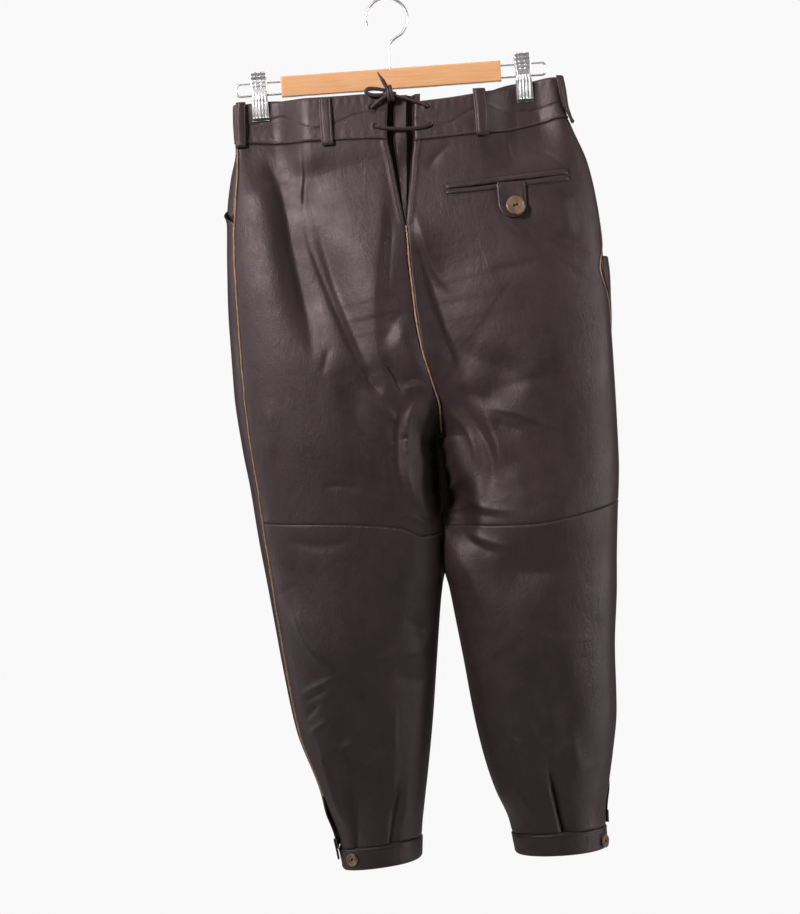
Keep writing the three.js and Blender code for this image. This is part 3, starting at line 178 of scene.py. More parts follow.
RIGHT_ROWS = [
    (2, 193, None, 4), (-28, 194, None, 4), (-54, 202, None, 5), (-100, 218, None, 6),
    (-136, 224, None, 5), (-158, None, None, 0), (-171, 227, None, -5), (-192, None, None, -14),
    (-212, 227.5, None, -24), (-224, None, None, -27), (-240, 229, None, -23), (-258, None, None, -14),
    (-280, 231, None, -5), (-305, None, None, 2), (-344, 230.8, None, 6), (-400, 230, 29.6, 6),
    (-410, None, 28.4),
    (-440, 229, 27.8, 6), (-505, 223, 24.9, 6), (-548, 219, 21.5, 6), (-589, 216, 26, 6),
    (-654, 209, 34, 6), (-728, 205.5, 42.5, 6), (-774, 198, 50.5, 6), (-808, 191, 59.5, 6),
    (-845, 184, 73, 6), (-885, 183, 79, 6),
]
LEFT_BAND = [
    (0, -6, -59), (0.05, -5, -57), (0.13, -5, -56), (0.3, -4, -54), (0.4, -3, -51), (0.5, -3, -48),
    (0.62, -1, -50), (0.8, -9, -59), (1, -16, -66),
]
RIGHT_BAND = [
    (0, -18, -63), (0.12, -15.5, -61), (0.28, -8, -57), (0.37, -2, -51.5), (0.45, 1.5, -46),
    (0.5, 1, -47), (0.62, -1, -50), (0.8, -9, -59), (1, -16, -66),
]
knee_lines = columns("left right", [
    (0, -508, -500), (0.2, -511, -502), (0.32, -500, -505), (0.48, -494, -506),
    (0.66, -490, -500), (0.85, -487, -491), (1, -484, -484),
])
cuff_tops = columns("left right", [(0, -853, -858), (0.5, -856, -858), (1, -861, -857)])
opening_half = curve([4, -56, -85, -115, V_FOOT], [14.3, 15.7, 11.5, 7.5, PIPED_HALF])
mouth = curve([-46, -75, -95, -110, -120, -128, -135, MOUTH_FOOT, -200],
              [68, 65, 59, 49, 37, 24, 11, PIPED_HALF, PIPED_HALF])
MOUTH_STANDS = {"left": 5, "right": 3}
PINCH_Y, PINCH_FLAT, PINCH_REACH, PINCH_FROM, PINCH_TO = 3.6, 11.5, 56, -30, -118


def pinched(x, y, z):
    """The clips press the waist's two sides together."""
    fade = 1 - step(PINCH_FROM, PINCH_TO, z)
    near = 1 - step(PINCH_FLAT, PINCH_REACH, np.abs(np.abs(x) - CLIP_X))
    return mix(y, np.sign(y) * np.minimum(PINCH_Y, np.abs(y)), fade * near)


# ---------------------------------------------------------------- the legs' loops
LEVELS = np.concatenate([np.arange(8, -380, -2.0), np.arange(-380, -400, -0.25),
                         np.arange(-400, -902, -2.0)])
HALF_COLUMNS = 200
LOOP_POINTS = 900


class Leg:
    """One leg's loops, from centre back round the outer side to centre front, sampled by level and
    by share of the way: 0 to 1 over the back, 1 to 2 from the outer seam over the front."""

    def __init__(self, name, sign, rows, band):
        self.name, self.sign = name, sign
        own = columns("outer inner seam", rows)
        self.outer, self.inner, self.seam_row = own["outer"], own["inner"], own["seam"]
        band = columns("top foot", band)
        self.band_top, self.band_foot = band["top"], band["foot"]
        self.knee, self.cuff_top = knee_lines[name], cuff_tops[name]
        z = LEVELS[:, None]
        above = z > CROTCH
        parted = np.where(above, form["parted"](z), 1.0)
        outer = self.outer(z)
        inner = np.where(above, form["seam"](z) + sign * PIPED_HALF, self.inner(z))
        half = np.abs(outer - inner) / (1 + parted)
        middle = outer - sign * half
        back, front = form["back"](z), form["front"](z)
        y_mid = (back + front) / 2
        power = 2 / form["square"](z)
        start = np.arccos(np.clip(parted, 0, 1) ** (1 / power))
        angle = start + (2 * math.pi - 2 * start) * np.linspace(0, 1, LOOP_POINTS)[None]
        c, s = np.cos(angle), np.sin(angle)
        x = middle - sign * half * np.sign(c) * np.abs(c) ** power
        y = pinched(x, y_mid + np.where(s > 0, back - y_mid, front - y_mid) * np.abs(s) ** power, z)
        run = np.concatenate([np.zeros((len(z), 1)), np.cumsum(np.hypot(np.diff(x), np.diff(y)), 1)], 1)
        self.total = run[:, -1]
        self.seam = np.array([self.seam_place(LEVELS[i], x[i], y[i], run[i]) for i in range(len(z))])
        share = np.linspace(0, 1, HALF_COLUMNS + 1)
        grid = []
        for i in range(len(z)):
            at = np.concatenate([share * self.seam[i],
                                 mix(self.seam[i], self.total[i], share[1:])])
            gx, gy = np.interp(at, run[i], x[i]), np.interp(at, run[i], y[i])
            tx, ty = np.gradient(gx), np.gradient(gy)
            size = np.hypot(tx, ty) + 1e-9
            grid.append(np.stack([gx, gy, ty / size * sign, -tx / size * sign], 1))
        self.grid = np.array(grid)

    def seam_place(self, z, x, y, run):
        if self.name == "left":
            target = self.outer(z) - self.sign * self.seam_row(z)
            widest = np.argmax(self.sign * x)
            return np.interp(self.sign * target, self.sign * x[: widest + 1], run[: widest + 1])
        outside = self.sign * (x - (x[0] + self.outer(z)) / 2) > 0
        target = self.seam_row(z)
        hits = np.where(outside[:-1] & (y[:-1] <= target) & (y[1:] >= target))[0]
        i = hits[0]
        return mix(run[i], run[i + 1], (target - y[i]) / (y[i + 1] - y[i] + 1e-9))

    def seam_at(self, z):
        return np.interp(-np.asarray(z, float), -LEVELS, self.seam)

    def total_at(self, z):
        return np.interp(-np.asarray(z, float), -LEVELS, self.total)

    def on(self, z, s):
        z, s = np.broadcast_arrays(np.asarray(z, float), np.asarray(s, float))
        z = np.clip(z, LEVELS[-1] + 1e-6, LEVELS[0] - 1e-6)
        i = np.clip(np.searchsorted(-LEVELS, -z, side="right") - 1, 0, len(LEVELS) - 2)
        tz = ((LEVELS[i] - z) / (LEVELS[i] - LEVELS[i + 1]))[..., None]
        seam, total = self.seam_at(z), self.total_at(z)
        q = np.where(s <= seam, s / seam, 1 + (s - seam) / (total - seam)) * HALF_COLUMNS
        q = np.clip(q, 0, 2 * HALF_COLUMNS - 1e-6)
        j = q.astype(int)
        tq = (q - j)[..., None]
        g = self.grid
        return mix(mix(g[i, j], g[i, j + 1], tq), mix(g[i + 1, j], g[i + 1, j + 1], tq), tz)

    def around(self, z, s):
        """Carried on past the centre line into the other leg, and round the leg below the crotch."""
        z, s = np.broadcast_arrays(np.asarray(z, float), np.asarray(s, float))
        total = self.total_at(z)
        made = self.on(z, np.clip(s, 0, total))
        beyond = (s < 0) | (s > total)
        if not beyond.any():
            return made
        below = self.on(z, np.where(s < 0, s + total, s - total))
        other = legs[1 - legs.index(self)]
        past = np.where(s < 0, -s, s - total)
        far = np.maximum(0, past - 2 * PIPED_HALF)
        over = other.on(z, np.where(s < 0, far, other.total_at(z) - far))
        blend = np.clip(past / (2 * PIPED_HALF), 0, 1)[..., None]
        over = mix(made, over, blend)
        outside = np.where((z <= CROTCH)[..., None], below, over)
        return np.where(beyond[..., None], outside, made)

    def length_at(self, z, x):
        """The length at which the back passes a given x."""
        z, x = np.broadcast_arrays(np.asarray(z, float), np.asarray(x, float))
        low, high = np.zeros(z.shape), self.seam_at(z) * 1.02
        for _ in range(26):
            half = (low + high) / 2
            inside = self.sign * self.on(z, half)[..., 0] < self.sign * x
            low, high = np.where(inside, half, low), np.where(inside, high, half)
        return (low + high) / 2

    def band_share(self, z, s):
        seam, total = self.seam_at(z), self.total_at(z)
        return np.where(s < seam, 0.5 * s / seam, 0.5 + 0.5 * (s - seam) / (total - seam))


legs = [Leg("left", -1, LEFT_ROWS, LEFT_BAND)]
legs.append(Leg("right", 1, RIGHT_ROWS, RIGHT_BAND))
LEFT, RIGHT = legs

# ---------------------------------------------------------------- folds
# Broad folds: x0, z0, x1, z1, bow, wide, deep.
BACK_FOLDS = [
    (-66, -120, -30, -265, 4, 26, 3), (-70, -330, -58, -400, 4, 15, -3),
    (-14, -262, 14, -340, 4, 14, 4.5), (-2, -355, 8, -455, -10, 15, 3),
    (112, -120, 196, -200, 4, 14, -3),
    (46, -350, 92, -478, 12, 17, -3), (-164, -560, -110, -660, 6, 17, 4),
    (74, -640, 150, -760, -8, 22, -4.5), (-120, -680, -70, -760, 5, 20, -4),
]
FRONT_FOLDS = [
    (-140, -60, -112, -230, -5, 19, -7.5), (150, -60, 124, -220, 5, 19, -7.5),
    (-96, -250, 8, -372, -12, 15, -6), (146, -262, 52, -380, 12, 15, -6),
    (-40, -390, -96, -520, 8, 18, 5), (84, -400, 128, -516, -8, 18, 5),
    (-150, -610, -70, -650, 5, 18, -5), (62, -628, 150, -600, 5, 18, -5),
]
# Finer creases: a line of x, z points, how wide it is on its left and right looking along
# it, how round its bottom or crest is, and its height (negative for a trough).
BACK_CREASES = [
    ([(-155, -27), (-145, -76), (-135, -122), (-129, -173), (-121, -224), (-113, -270), (-108, -321)],
      220, 18, 4, -16),
    ([(-102, -130), (-90, -187), (-81, -224), (-64, -276), (-50, -318), (-33, -349)], 40, 11, 4, -5.5),
    ([(-114, -129), (-109, -169), (-103, -192), (-92, -226), (-73, -279), (-57, -319), (-39, -347)],
      7, 2.4, 0.8, -1.5),
    ([(-23, -73), (-22, -130), (-28, -186), (-38, -242), (-41, -292), (-33, -327)], 13, 66, 6, 4.5),
    ([(-16, -130), (-13, -164), (-18, -200), (-22, -243)], 4, 6, 1.5, -1.4),
    ([(-4, -251), (-15, -268), (-33, -293)], 12, 8, 3, -1.4),
    ([(2, -262), (-8, -280), (-24, -306)], 7, 11, 3, 0.8),
    ([(-31, -305), (-24, -322), (-12, -354)], 5, 4, 1, -3.8),
    ([(-59, -315), (-47, -336), (-34, -350)], 8, 8, 3, -3),
    ([(-14, -343), (-2, -343), (14, -338)], 2.6, 4, 1, 2.4),
    ([(-12, -336), (-2, -334), (9, -334)], 3, 2, 1, -1.8),
    ([(-91, -289), (-97, -305), (-103, -325)], 4, 4, 2, -1.2),
    ([(14, -164), (22, -203), (30, -235), (39, -272), (49, -308), (58, -343)], 60, 20, 4, -14),
    ([(14, -139), (18, -158), (23, -181), (29, -204), (39, -225), (55, -244)], 14, 4, 1.5, 2.8),
    ([(34, -286), (60, -312), (98, -328), (137, -345)], 36, 60, 8, -8),
    ([(56, -352), (92, -352), (131, -344), (186, -335)], 10, 16, 6, -1.8),
    ([(113, -156), (121, -170), (132, -178), (161, -188)], 2.4, 2.4, 0.7, -1.1),
    ([(125, -160), (137, -173), (155, -185)], 2.4, 2.4, 0.7, -1.1),
    ([(139, -187), (159, -200), (177, -214), (217, -246)], 3, 3, 0.8, -1.1),
    ([(143, -178), (176, -187), (220, -207)], 8, 8, 4, -1.8),
    ([(179, -124), (185, -156), (191, -193)], 9, 13, 5, 2.4),
    ([(88, -219), (112, -217), (159, -210)], 6, 16, 3, -1.2),
    ([(69, -68), (52, -77), (40, -89), (33, -102)], 4, 6, 2, -1.7),
    ([(140, -74), (167, -87), (217, -125)], 5, 7, 3, -1.6),
    ([(-165, -340), (-165, -379), (-167, -422)], 9, 11, 4, 1.6),
    ([(-116, -448), (-91, -447), (-66, -454)], 3, 7, 1.4, -1.1),
    ([(16, -347), (-6, -369), (-14, -394), (-16, -422), (-15, -449), (-5, -477), (12, -502)],
      16, 3.6, 1.4, 5),
    ([(-16, -352), (-23, -401), (-24, -451)], 4, 12, 3, -2.4),
    ([(10, -360), (4, -380), (0, -403)], 3, 3, 1, -1.2),
    ([(-31, -489), (-15, -487), (0, -496), (15, -505)], 4, 3, 1.2, 2.6),
    ([(-12, -451), (-2, -483), (11, -497)], 3, 3.5, 1, -1.8),
    ([(-38, -395), (-45, -431), (-50, -467)], 6, 6, 3, -1.3),
    ([(-44, -354), (-31, -369), (-20, -385)], 5, 5, 2, 1.3),
    ([(36, -351), (52, -370), (67, -394), (80, -424), (80, -450), (70, -472)], 10, 6, 2.5, -2.6),
    ([(28, -362), (44, -381), (59, -405), (67, -450)], 5, 7, 2, 2.2),
    ([(71, -358), (82, -392), (90, -425), (88, -454)], 12, 5, 3, 2.6),
    ([(96, -435), (111, -462), (122, -491)], 14, 15, 8, 1.6),
    ([(45, -462), (58, -477), (72, -485), (109, -491)], 5, 6, 2, 1.2),
    ([(49, -480), (64, -491), (88, -496)], 4, 6, 2, -1.2),
    ([(40, -501), (55, -513), (70, -522), (106, -534)], 7, 4, 2, 2),
    ([(36, -502), (50, -519), (68, -530), (89, -537)], 3, 11, 2, -2),
    ([(82, -551), (115, -560), (153, -563)], 10, 9, 6, -1.8),
    ([(73, -370), (100, -377), (126, -387), (155, -404)], 16, 4, 1.2, 2.2),
    ([(77, -385), (99, -394), (122, -404)], 5, 16, 3, -1.6),
    ([(44, -346), (71, -358), (98, -367)], 6, 14, 3, -1.6),
    ([(26, -515), (40, -541), (55, -576), (59, -613)], 10, 10, 4, 2),
    ([(-161, -504), (-119, -514), (-78, -510)], 7, 7, 4, -1.1),
    ([(-153, -568), (-147, -604), (-132, -635), (-111, -658)], 9, 7, 3, 2.8),
    ([(-109, -660), (-128, -669), (-154, -682)], 4, 4, 1.2, 2.6),
    ([(-119, -670), (-133, -680), (-152, -690)], 4, 3, 1.5, -1.8),
    ([(-129, -687), (-141, -699), (-152, -710)], 4, 4, 1.4, -1.8),
    ([(-125, -710), (-138, -720), (-148, -729)], 3, 4, 1.2, 1.6),
    ([(-140, -720), (-134, -754), (-127, -793), (-119, -821), (-110, -840)], 7, 4, 1.5, 3),
    ([(-123, -719), (-112, -728), (-106, -743)], 8, 8, 4, -1.6),
    ([(-72, -646), (-38, -643), (-1, -640)], 10, 8, 3, 2.6),
    ([(-30, -604), (-15, -614), (2, -622)], 10, 9, 4, -2),
    ([(-49, -666), (-29, -672), (-4, -678)], 8, 10, 4, -1.8),
    ([(-46, -693), (-52, -749), (-57, -800), (-65, -834)], 3, 8, 2, 2),
    ([(79, -743), (95, -758), (108, -774)], 5, 6, 1.6, 1.8),
    ([(85, -691), (109, -729), (118, -762)], 12, 14, 6, -3),
    ([(138, -707), (149, -755), (156, -803)], 12, 7, 3, 2.2),
    ([(69, -785), (87, -814), (103, -844)], 5, 6, 2, 1.4),
    ([(-37, -784), (-45, -820), (-50, -844)], 12, 5, 2, 2),
    ([(116, -624), (130, -635), (188, -642)], 3, 4, 1, 0.8),
    ([(120, -654), (153, -662), (189, -658)], 4, 5, 1.5, -0.7),
    ([(-104, -768), (-104, -807), (-104, -842), (-105, -892)], 20, 4, 0.8, -3.6),
    ([(-45, -767), (-52, -802), (-62, -848), (-72, -895)], 24, 3, 0.6, -5),
    ([(125, -728), (127, -779), (132, -823), (139, -867), (143, -916)], 10, 60, 3, -4),
    ([(119, -770), (127, -826), (133, -862), (138, -899)], 3.4, 3, 0.3, -6.5),
]
# Broad swells of the hanging leather: x, z, half width, half height, how high.
SWELLS = [
    (140, -500, 52, 40, 6), (-70, -392, 60, 60, 4), (150, -200, 60, 80, 3), (126, -640, 60, 90, 5),
    (-100, -640, 46, 90, 4), (104, -560, 30, 26, -3), (-90, -790, 30, 50, -3), (128, -700, 16, 60, -4),
]
FRONT_CREASES = [
    ([(-132, -150), (-112, -206), (-84, -262), (-48, -318), (-10, -352)], 7, 14, 2, -2.6),
    ([(150, -150), (134, -206), (108, -262), (74, -318), (34, -352)], 14, 7, 2, -2.6),
    ([(-92, -352), (-58, -380), (-20, -388)], 7, 9, 3, 2),
    ([(128, -340), (98, -372), (60, -384)], 9, 7, 3, 2),
    ([(-124, -486), (-84, -500), (-40, -496)], 6, 9, 2.4, -2.4),
    ([(72, -480), (116, -498), (166, -488)], 6, 9, 2.4, -2.4),
    ([(-130, -520), (-96, -532), (-56, -524)], 7, 8, 3, 1.8),
    ([(80, -516), (120, -530), (160, -520)], 7, 8, 3, 1.8),
    ([(-110, -600), (-84, -680), (-80, -750)], 12, 10, 6, 2),
    ([(112, -600), (122, -680), (128, -750)], 12, 10, 6, 2),
    ([(-40, -96), (-62, -150), (-70, -210)], 10, 14, 6, 1.8),
    ([(66, -96), (84, -150), (90, -210)], 10, 14, 6, 1.8),
    ([(-150, -700), (-120, -716), (-92, -708)], 6, 7, 3, -1.6),
    ([(92, -712), (130, -722), (168, -704)], 6, 7, 3, -1.6),
]
# Sewn lines in a panel: waist darts, the pocket's slit, a short seam above the right knee band.
LEFT_DART = [(-108.7, -58), (-110.5, -100), (-113, -142)]
RIGHT_DART = [(127.2, -62), (129.6, -84), (131.8, -102)]
SHORT_SEAM = [(173, -806), (170, -858)]
POCKET_UPPER = [(52, -116.7), (87, -114.2), (122, -111.8), (158, -109.4), (193.5, -107)]
POCKET_SLIT = [(52, -121.8), (87, -120), (122, -117.6), (158, -115.4), (193.5, -112.4)]
POCKET_LOWER = [(52, -127.8), (87, -127), (122, -125), (158, -123), (193.5, -120.4)]
SEWN = [(LEFT_DART, 1.1, 1.1, 0.5, -1.5), (LEFT_DART, 7, 7, 3, 1.2), (RIGHT_DART, 1.1, 1.1, 0.5, -1.3),
        (RIGHT_DART, 6, 6, 3, 1.0), (POCKET_SLIT, 1.2, 1.2, 1.0, -2.4), (SHORT_SEAM, 1.4, 1.4, 0.8, 0.8)]
# The tucks let into the knee bands: leg, x and z at the band and where the tuck dies out, and the
# side it is laid to. They only lay the grid's columns; the tucks' height is in the rows above.
TUCKS = [("left", -105, -892, -104, -768, 1), ("left", -72, -895, -45, -767, 1),
         ("right", 138, -899, 119, -770, -1)]
CREASED = 1.15
# A crease's reach in its widths, its fall, the share of it that fades at each end, and past its ends.
CREASE_REACH, CREASE_FALL, CREASE_ENDS, CREASE_PAST = 5, 0.62, 0.36, 0.7
LEAST = 0.04
# Where the inner thighs curve away from each other behind the crotch: x, z, half width, depth.
DENTS = [(24, -391, 10, 12), (20, -410, 13, 32), (23, -428, 13, 38), (25, -450, 16, 42),
         (33, -472, 19, 42), (39, -489, 17, 30)]
DENT_TALL = 20
TWIST, TWIST_AT, TWIST_WIDE = 4, 28, 14


def catmull_rom(points, steps):
    """A curved line through points, with so many steps from each of them to the next."""
    p = np.array(points, float)
    p = np.vstack([2 * p[0] - p[1], p, 2 * p[-1] - p[-2]])
    line = []
    for i in range(1, len(p) - 2):
        a, b, c, d = p[i - 1 : i + 3]
        for t in np.linspace(0, 1, steps, endpoint=False):
            line.append(0.5 * (2 * b + (c - a) * t + (2 * a - 5 * b + 4 * c - d) * t * t
                               + (3 * b - a - 3 * c + d) * t**3))
    line.append(p[-2])
    return np.array(line)


def smooth_line(points, count=14):
    """A curved line of about count points; two points stay a straight line."""
    if len(points) == 2:
        return np.array(points, float)
    return catmull_rom(points, max(3, count // (len(points) - 1)))


def lengths_along(points):
    """How far along its line each point lies."""
    return np.concatenate([[0], np.cumsum(np.linalg.norm(np.diff(points, axis=0), axis=1))])


def sampled(at, run, values):
    """Rows of three values, read at lengths along a run."""
    return np.stack([np.interp(at, run, values[:, k]) for k in range(3)], 1)


def along(line, x, z):
    """Signed distance from a line of points, positive on its left, and share of the way along it."""
    ends = line[1:] - line[:-1]
    sizes = np.hypot(ends[:, 0], ends[:, 1])
    starts = np.concatenate([[0], np.cumsum(sizes)])
    best = np.full(x.shape, 1e9)
    off, share, past = np.zeros(x.shape), np.zeros(x.shape), np.zeros(x.shape)
    for k, (dx, dz) in enumerate(ends):
        rx, rz = x - line[k, 0], z - line[k, 1]
        raw = (rx * dx + rz * dz) / sizes[k] ** 2
        t = np.clip(raw, 0, 1)
        side = (dx * rz - dz * rx) / sizes[k]
        gap = np.hypot(rx - t * dx, rz - t * dz)
        closer = gap < best
        best = np.where(closer, gap, best)
        off = np.where(closer, side, off)
        share = np.where(closer, (starts[k] + t * sizes[k]) / starts[-1], share)
        past = np.where(closer, np.abs(raw - t) * sizes[k], past)
    return off, share, past


def crease(line, left, right, round_it, high, x, z):
    """One crease's height: steep at its line, fading out sideways, along it and past its ends."""
    wide = CREASE_REACH * max(left, right)
    lo, hi = line.min(0) - wide, line.max(0) + wide
    near = (x > lo[0]) & (x < hi[0]) & (z > lo[1]) & (z < hi[1])
    height = np.zeros(x.shape)
    if not near.any():
        return height
    off, share, past = along(line, x[near], z[near])
    width = np.where(off > 0, left, right)
    fall = np.exp(-(np.sqrt(off**2 + round_it**2) - round_it) / (CREASE_FALL * width))
    taper = mix(LEAST, 1, step(0, CREASE_ENDS, np.minimum(share, 1 - share)))
    height[near] = high * fall * taper * bell(past / (CREASE_PAST * (left + right)))
    return height


def bowed(fold, x, z):
    """One broad fold's height."""
    x0, z0, x1, z1, bow, wide, deep = fold
    dx, dz = x1 - x0, z1 - z0
    length = math.hypot(dx, dz)
    raw = ((x - x0) * dx + (z - z0) * dz) / length**2
    t = np.clip(raw, 0, 1)
    off = ((x - x0) * dz - (z - z0) * dx) / length - bow * 4 * t * (1 - t)
    taper = np.sqrt(np.sin(math.pi * np.clip(t, 0.03, 0.97)))
    return deep * taper * bell(off / wide) * bell((raw - t) * length / wide)


BACK_LINES, FRONT_LINES, SEWN_LINES = (
    [(smooth_line(points), *shape) for points, *shape in table] for table in (BACK_CREASES, FRONT_CREASES, SEWN))


def fold_height(x, z, on_back):
    back = sum(bowed(f, x, z) for f in BACK_FOLDS)
    front = sum(bowed(f, x, z) for f in FRONT_FOLDS)
    for x0, z0, wide, tall, high in SWELLS:
        back = back + high * bell((x - x0) / wide) * bell((z - z0) / tall)
    for line, *shape in BACK_LINES:
        back = back + crease(line, *shape, x, z)
    for line, *shape in FRONT_LINES:
        front = front + crease(line, *shape, x, z)
    return CREASED * np.where(on_back, back, front)


def skin(leg, z, s, lift=0.0, folds=1.0, sewn=True):
    """The leather's outer face at level z and length s, moved out by lift."""
    z, s, lift = np.broadcast_arrays(np.asarray(z, float), np.asarray(s, float), np.asarray(lift, float))
    p = leg.around(z, s)
    x, y, nx, ny = (p[..., k] for k in range(4))
    size = np.hypot(nx, ny) + 1e-9
    nx, ny = nx / size, ny / size
    on_back = ny < 0
    facing = step(0.25, 0.75, np.abs(ny))
    # The folds fade out under the waistband and where the leather turns round the sides.
    free = mix(LEAST, 1, step(-55, -98, z))
    height = folds * facing * free * fold_height(x, z, on_back)
    if sewn:
        for line, *shape in SEWN_LINES:
            height = height + np.where(on_back, crease(line, *shape, x, z), 0)
    height = height + lift
    dent = np.zeros(z.shape)
    for dx, dz, wide, deep in DENTS:
        dent = np.maximum(dent, deep * np.exp(-np.abs((x - dx) / wide) ** 3) * bell((z - dz) / DENT_TALL))
    # The thighs press on each other in an S, so no light comes through between them.
    touch = step(-399, -405, z) * (1 - step(-548, -575, z)) * bell((x - TWIST_AT) / TWIST_WIDE)
    x = x + TWIST * np.tanh(y / 6) * touch
    y = y + np.where(y < 0, dent * step(0, -30, y), 0)
    return np.stack([x + nx * height, y + ny * height, z], -1)


def on_back(x, z, lift=0.0, **more):
    """The same by x, on the back."""
    x, z, lift = np.broadcast_arrays(np.asarray(x, float), np.asarray(z, float), np.asarray(lift, float))
    seam = form["seam"](z)
    made = np.zeros(x.shape + (3,))
    for leg in legs:
        own = (x < seam) if leg is LEFT else (x >= seam)
        if own.any():
            s = leg.length_at(z[own], x[own])
            s = np.where(np.abs(x[own] - seam[own]) <= PIPED_HALF, -PIPED_HALF, s)
            made[own] = skin(leg, z[own], s, lift[own], **more)
    return made


def unit(v):
    return v / (np.linalg.norm(v, axis=-1, keepdims=True) + 1e-12)


# ---------------------------------------------------------------- materials
class Shader:
    """A Principled material with small helpers for procedural nodes."""

    def __init__(self, name, **values):
        self.material = bpy.data.materials.new(name)
        self.material.use_nodes = True
        self.tree = self.material.node_tree
        self.main = self.tree.nodes["Principled BSDF"]
        for key, value in values.items():
            self.main.inputs[key.replace("_", " ")].default_value = value
        self.place = self.node("ShaderNodeTexCoord").outputs["Object"]

    def node(self, kind, **values):
        made = self.tree.nodes.new(kind)
        for key, value in values.items():
            setattr(made, key, value)
        return made

    def link(self, a, b):
        self.tree.links.new(a, b)

    def scaled(self, by):
        m = self.node("ShaderNodeMapping")
        m.inputs["Scale"].default_value = by
        self.link(self.place, m.inputs["Vector"])
        return m.outputs["Vector"]

    def noise(self, scale, detail=3, rough=0.55, place=None, distort=0):
        n = self.node("ShaderNodeTexNoise")
        n.inputs["Scale"].default_value = scale
        n.inputs["Detail"].default_value = detail
        n.inputs["Roughness"].default_value = rough
        n.inputs["Distortion"].default_value = distort
        self.link(place or self.place, n.inputs["Vector"])
        return n.outputs["Fac"]

    def cells(self, scale, feature="DISTANCE_TO_EDGE", place=None):
        n = self.node("ShaderNodeTexVoronoi", feature=feature)
        n.inputs["Scale"].default_value = scale
        self.link(place or self.place, n.inputs["Vector"])
        return n.outputs["Distance"]

    def ramp(self, source, stops):
        n = self.node("ShaderNodeValToRGB")
        for k, (at, colour) in enumerate(stops):
            e = n.color_ramp.elements[k] if k < 2 else n.color_ramp.elements.new(at)
            e.position = at
            e.color = tuple(colour) + (1,) if len(colour) == 3 else colour
        self.link(source, n.inputs["Fac"])
        return n.outputs["Color"]

    def span(self, source, low, high, frm=(0.3, 0.7)):
        n = self.node("ShaderNodeMapRange")
        for key, value in zip(("From Min", "From Max", "To Min", "To Max"), frm + (low, high)):
            n.inputs[key].default_value = value
        self.link(source, n.inputs["Value"])
        return n.outputs["Result"]

    def blend(self, fac, a, b, kind="MIX"):
        n = self.node("ShaderNodeMix", data_type="RGBA", blend_type=kind)
        for key, value in (("Factor", fac), ("A", a), ("B", b)):
            socket = [i for i in n.inputs if i.name == key and i.enabled][0]
            if hasattr(value, "links"):
                self.link(value, socket)
            elif key == "Factor":
                socket.default_value = value
            else:
                socket.default_value = tuple(value) + (1,)
        return [o for o in n.outputs if o.enabled][0]

    def bump(self, *layers):
        normal = None
        for source, depth, strength in layers:
            n = self.node("ShaderNodeBump")
            n.inputs["Distance"].default_value = depth
            n.inputs["Strength"].default_value = strength
            self.link(source, n.inputs["Height"])
            if normal:
                self.link(normal, n.inputs["Normal"])
            normal = n.outputs["Normal"]
        self.link(normal, self.main.inputs["Normal"])

    def set(self, key, source):
        self.link(source, self.main.inputs[key])


def leather_material(name, dark, light, warm, rough=(0.44, 0.58)):
    m = Shader(name, Specular_IOR_Level=0.5, Specular_Tint=(1.0, 0.84, 0.87, 1))
    stretched = m.scaled((1, 1, 0.45))
    broad = m.noise(9, 4, 0.6)
    fine = m.noise(70, 5, 0.65)
    colour = m.ramp(broad, [(0.34, dark), (0.68, light)])
    colour = m.blend(m.span(fine, 0.0, 0.7, (0.42, 0.68)), colour, warm)
    worn = m.span(m.noise(26, 5, 0.7, stretched), 0.0, 0.45, (0.40, 0.66))
    colour = m.blend(worn, colour, [c * 0.72 for c in dark])
    pores = m.cells(820)
    colour = m.blend(m.span(pores, 0.35, 0.0, (0.0, 0.18)), colour, [c * 0.5 for c in dark])
    m.set("Base Color", colour)
    m.set("Roughness", m.span(m.noise(38, 4, 0.6), *rough))
    m.bump((m.noise(60, 6, 0.62, stretched, 0.6), 0.0022, 0.34), (m.noise(300, 4, 0.6), 0.0004, 0.5),
           (pores, 0.00022, 0.5))
    return m.material


def plain_material(name, tint, dark, light, rough, grain, depth, strength, stops=(0.3, 0.7), **values):
    """Noise from dark to light, with a fine grain; rough is a noise and its range, or None."""
    m = Shader(name, **values)
    m.set("Base Color", m.ramp(m.noise(*tint), [(stops[0], dark), (stops[1], light)]))
    if rough:
        m.set("Roughness", m.span(m.noise(*rough[0]), *rough[1]))
    m.bump((m.noise(*grain), depth, strength))
    return m.material


def thread_material(name, colour):
    m = Shader(name, Roughness=0.55, Specular_IOR_Level=0.4)
    ply = m.node("ShaderNodeTexWave")
    ply.inputs["Scale"].default_value = 700
    ply.inputs["Distortion"].default_value = 1.5
    m.link(m.place, ply.inputs["Vector"])
    m.set("Base Color", m.ramp(ply.outputs["Fac"], [(0, [c * 0.6 for c in colour]), (1, colour)]))
    m.bump((ply.outputs["Fac"], 0.0001, 0.5))
    return m.material


def horn_material():
    m = Shader("buffalo_horn", Specular_IOR_Level=0.5, Coat_Weight=0.25, Coat_Roughness=0.25)
    streaks = m.noise(110, 5, 0.6, m.scaled((1.0, 1.0, 0.25)), 1.2)
    clouds = m.noise(60, 3)
    colour = m.ramp(streaks, [(0.3, (0.055, 0.028, 0.016)), (0.52, (0.15, 0.085, 0.050)),
                              (0.72, (0.25, 0.165, 0.11))])
    m.set("Base Color", m.blend(m.span(clouds, 0.0, 0.5), colour, (0.19, 0.115, 0.073)))
    m.set("Roughness", m.span(m.noise(150), 0.28, 0.45))
    m.bump((m.noise(420, 3), 0.0002, 0.35))
    return m.material


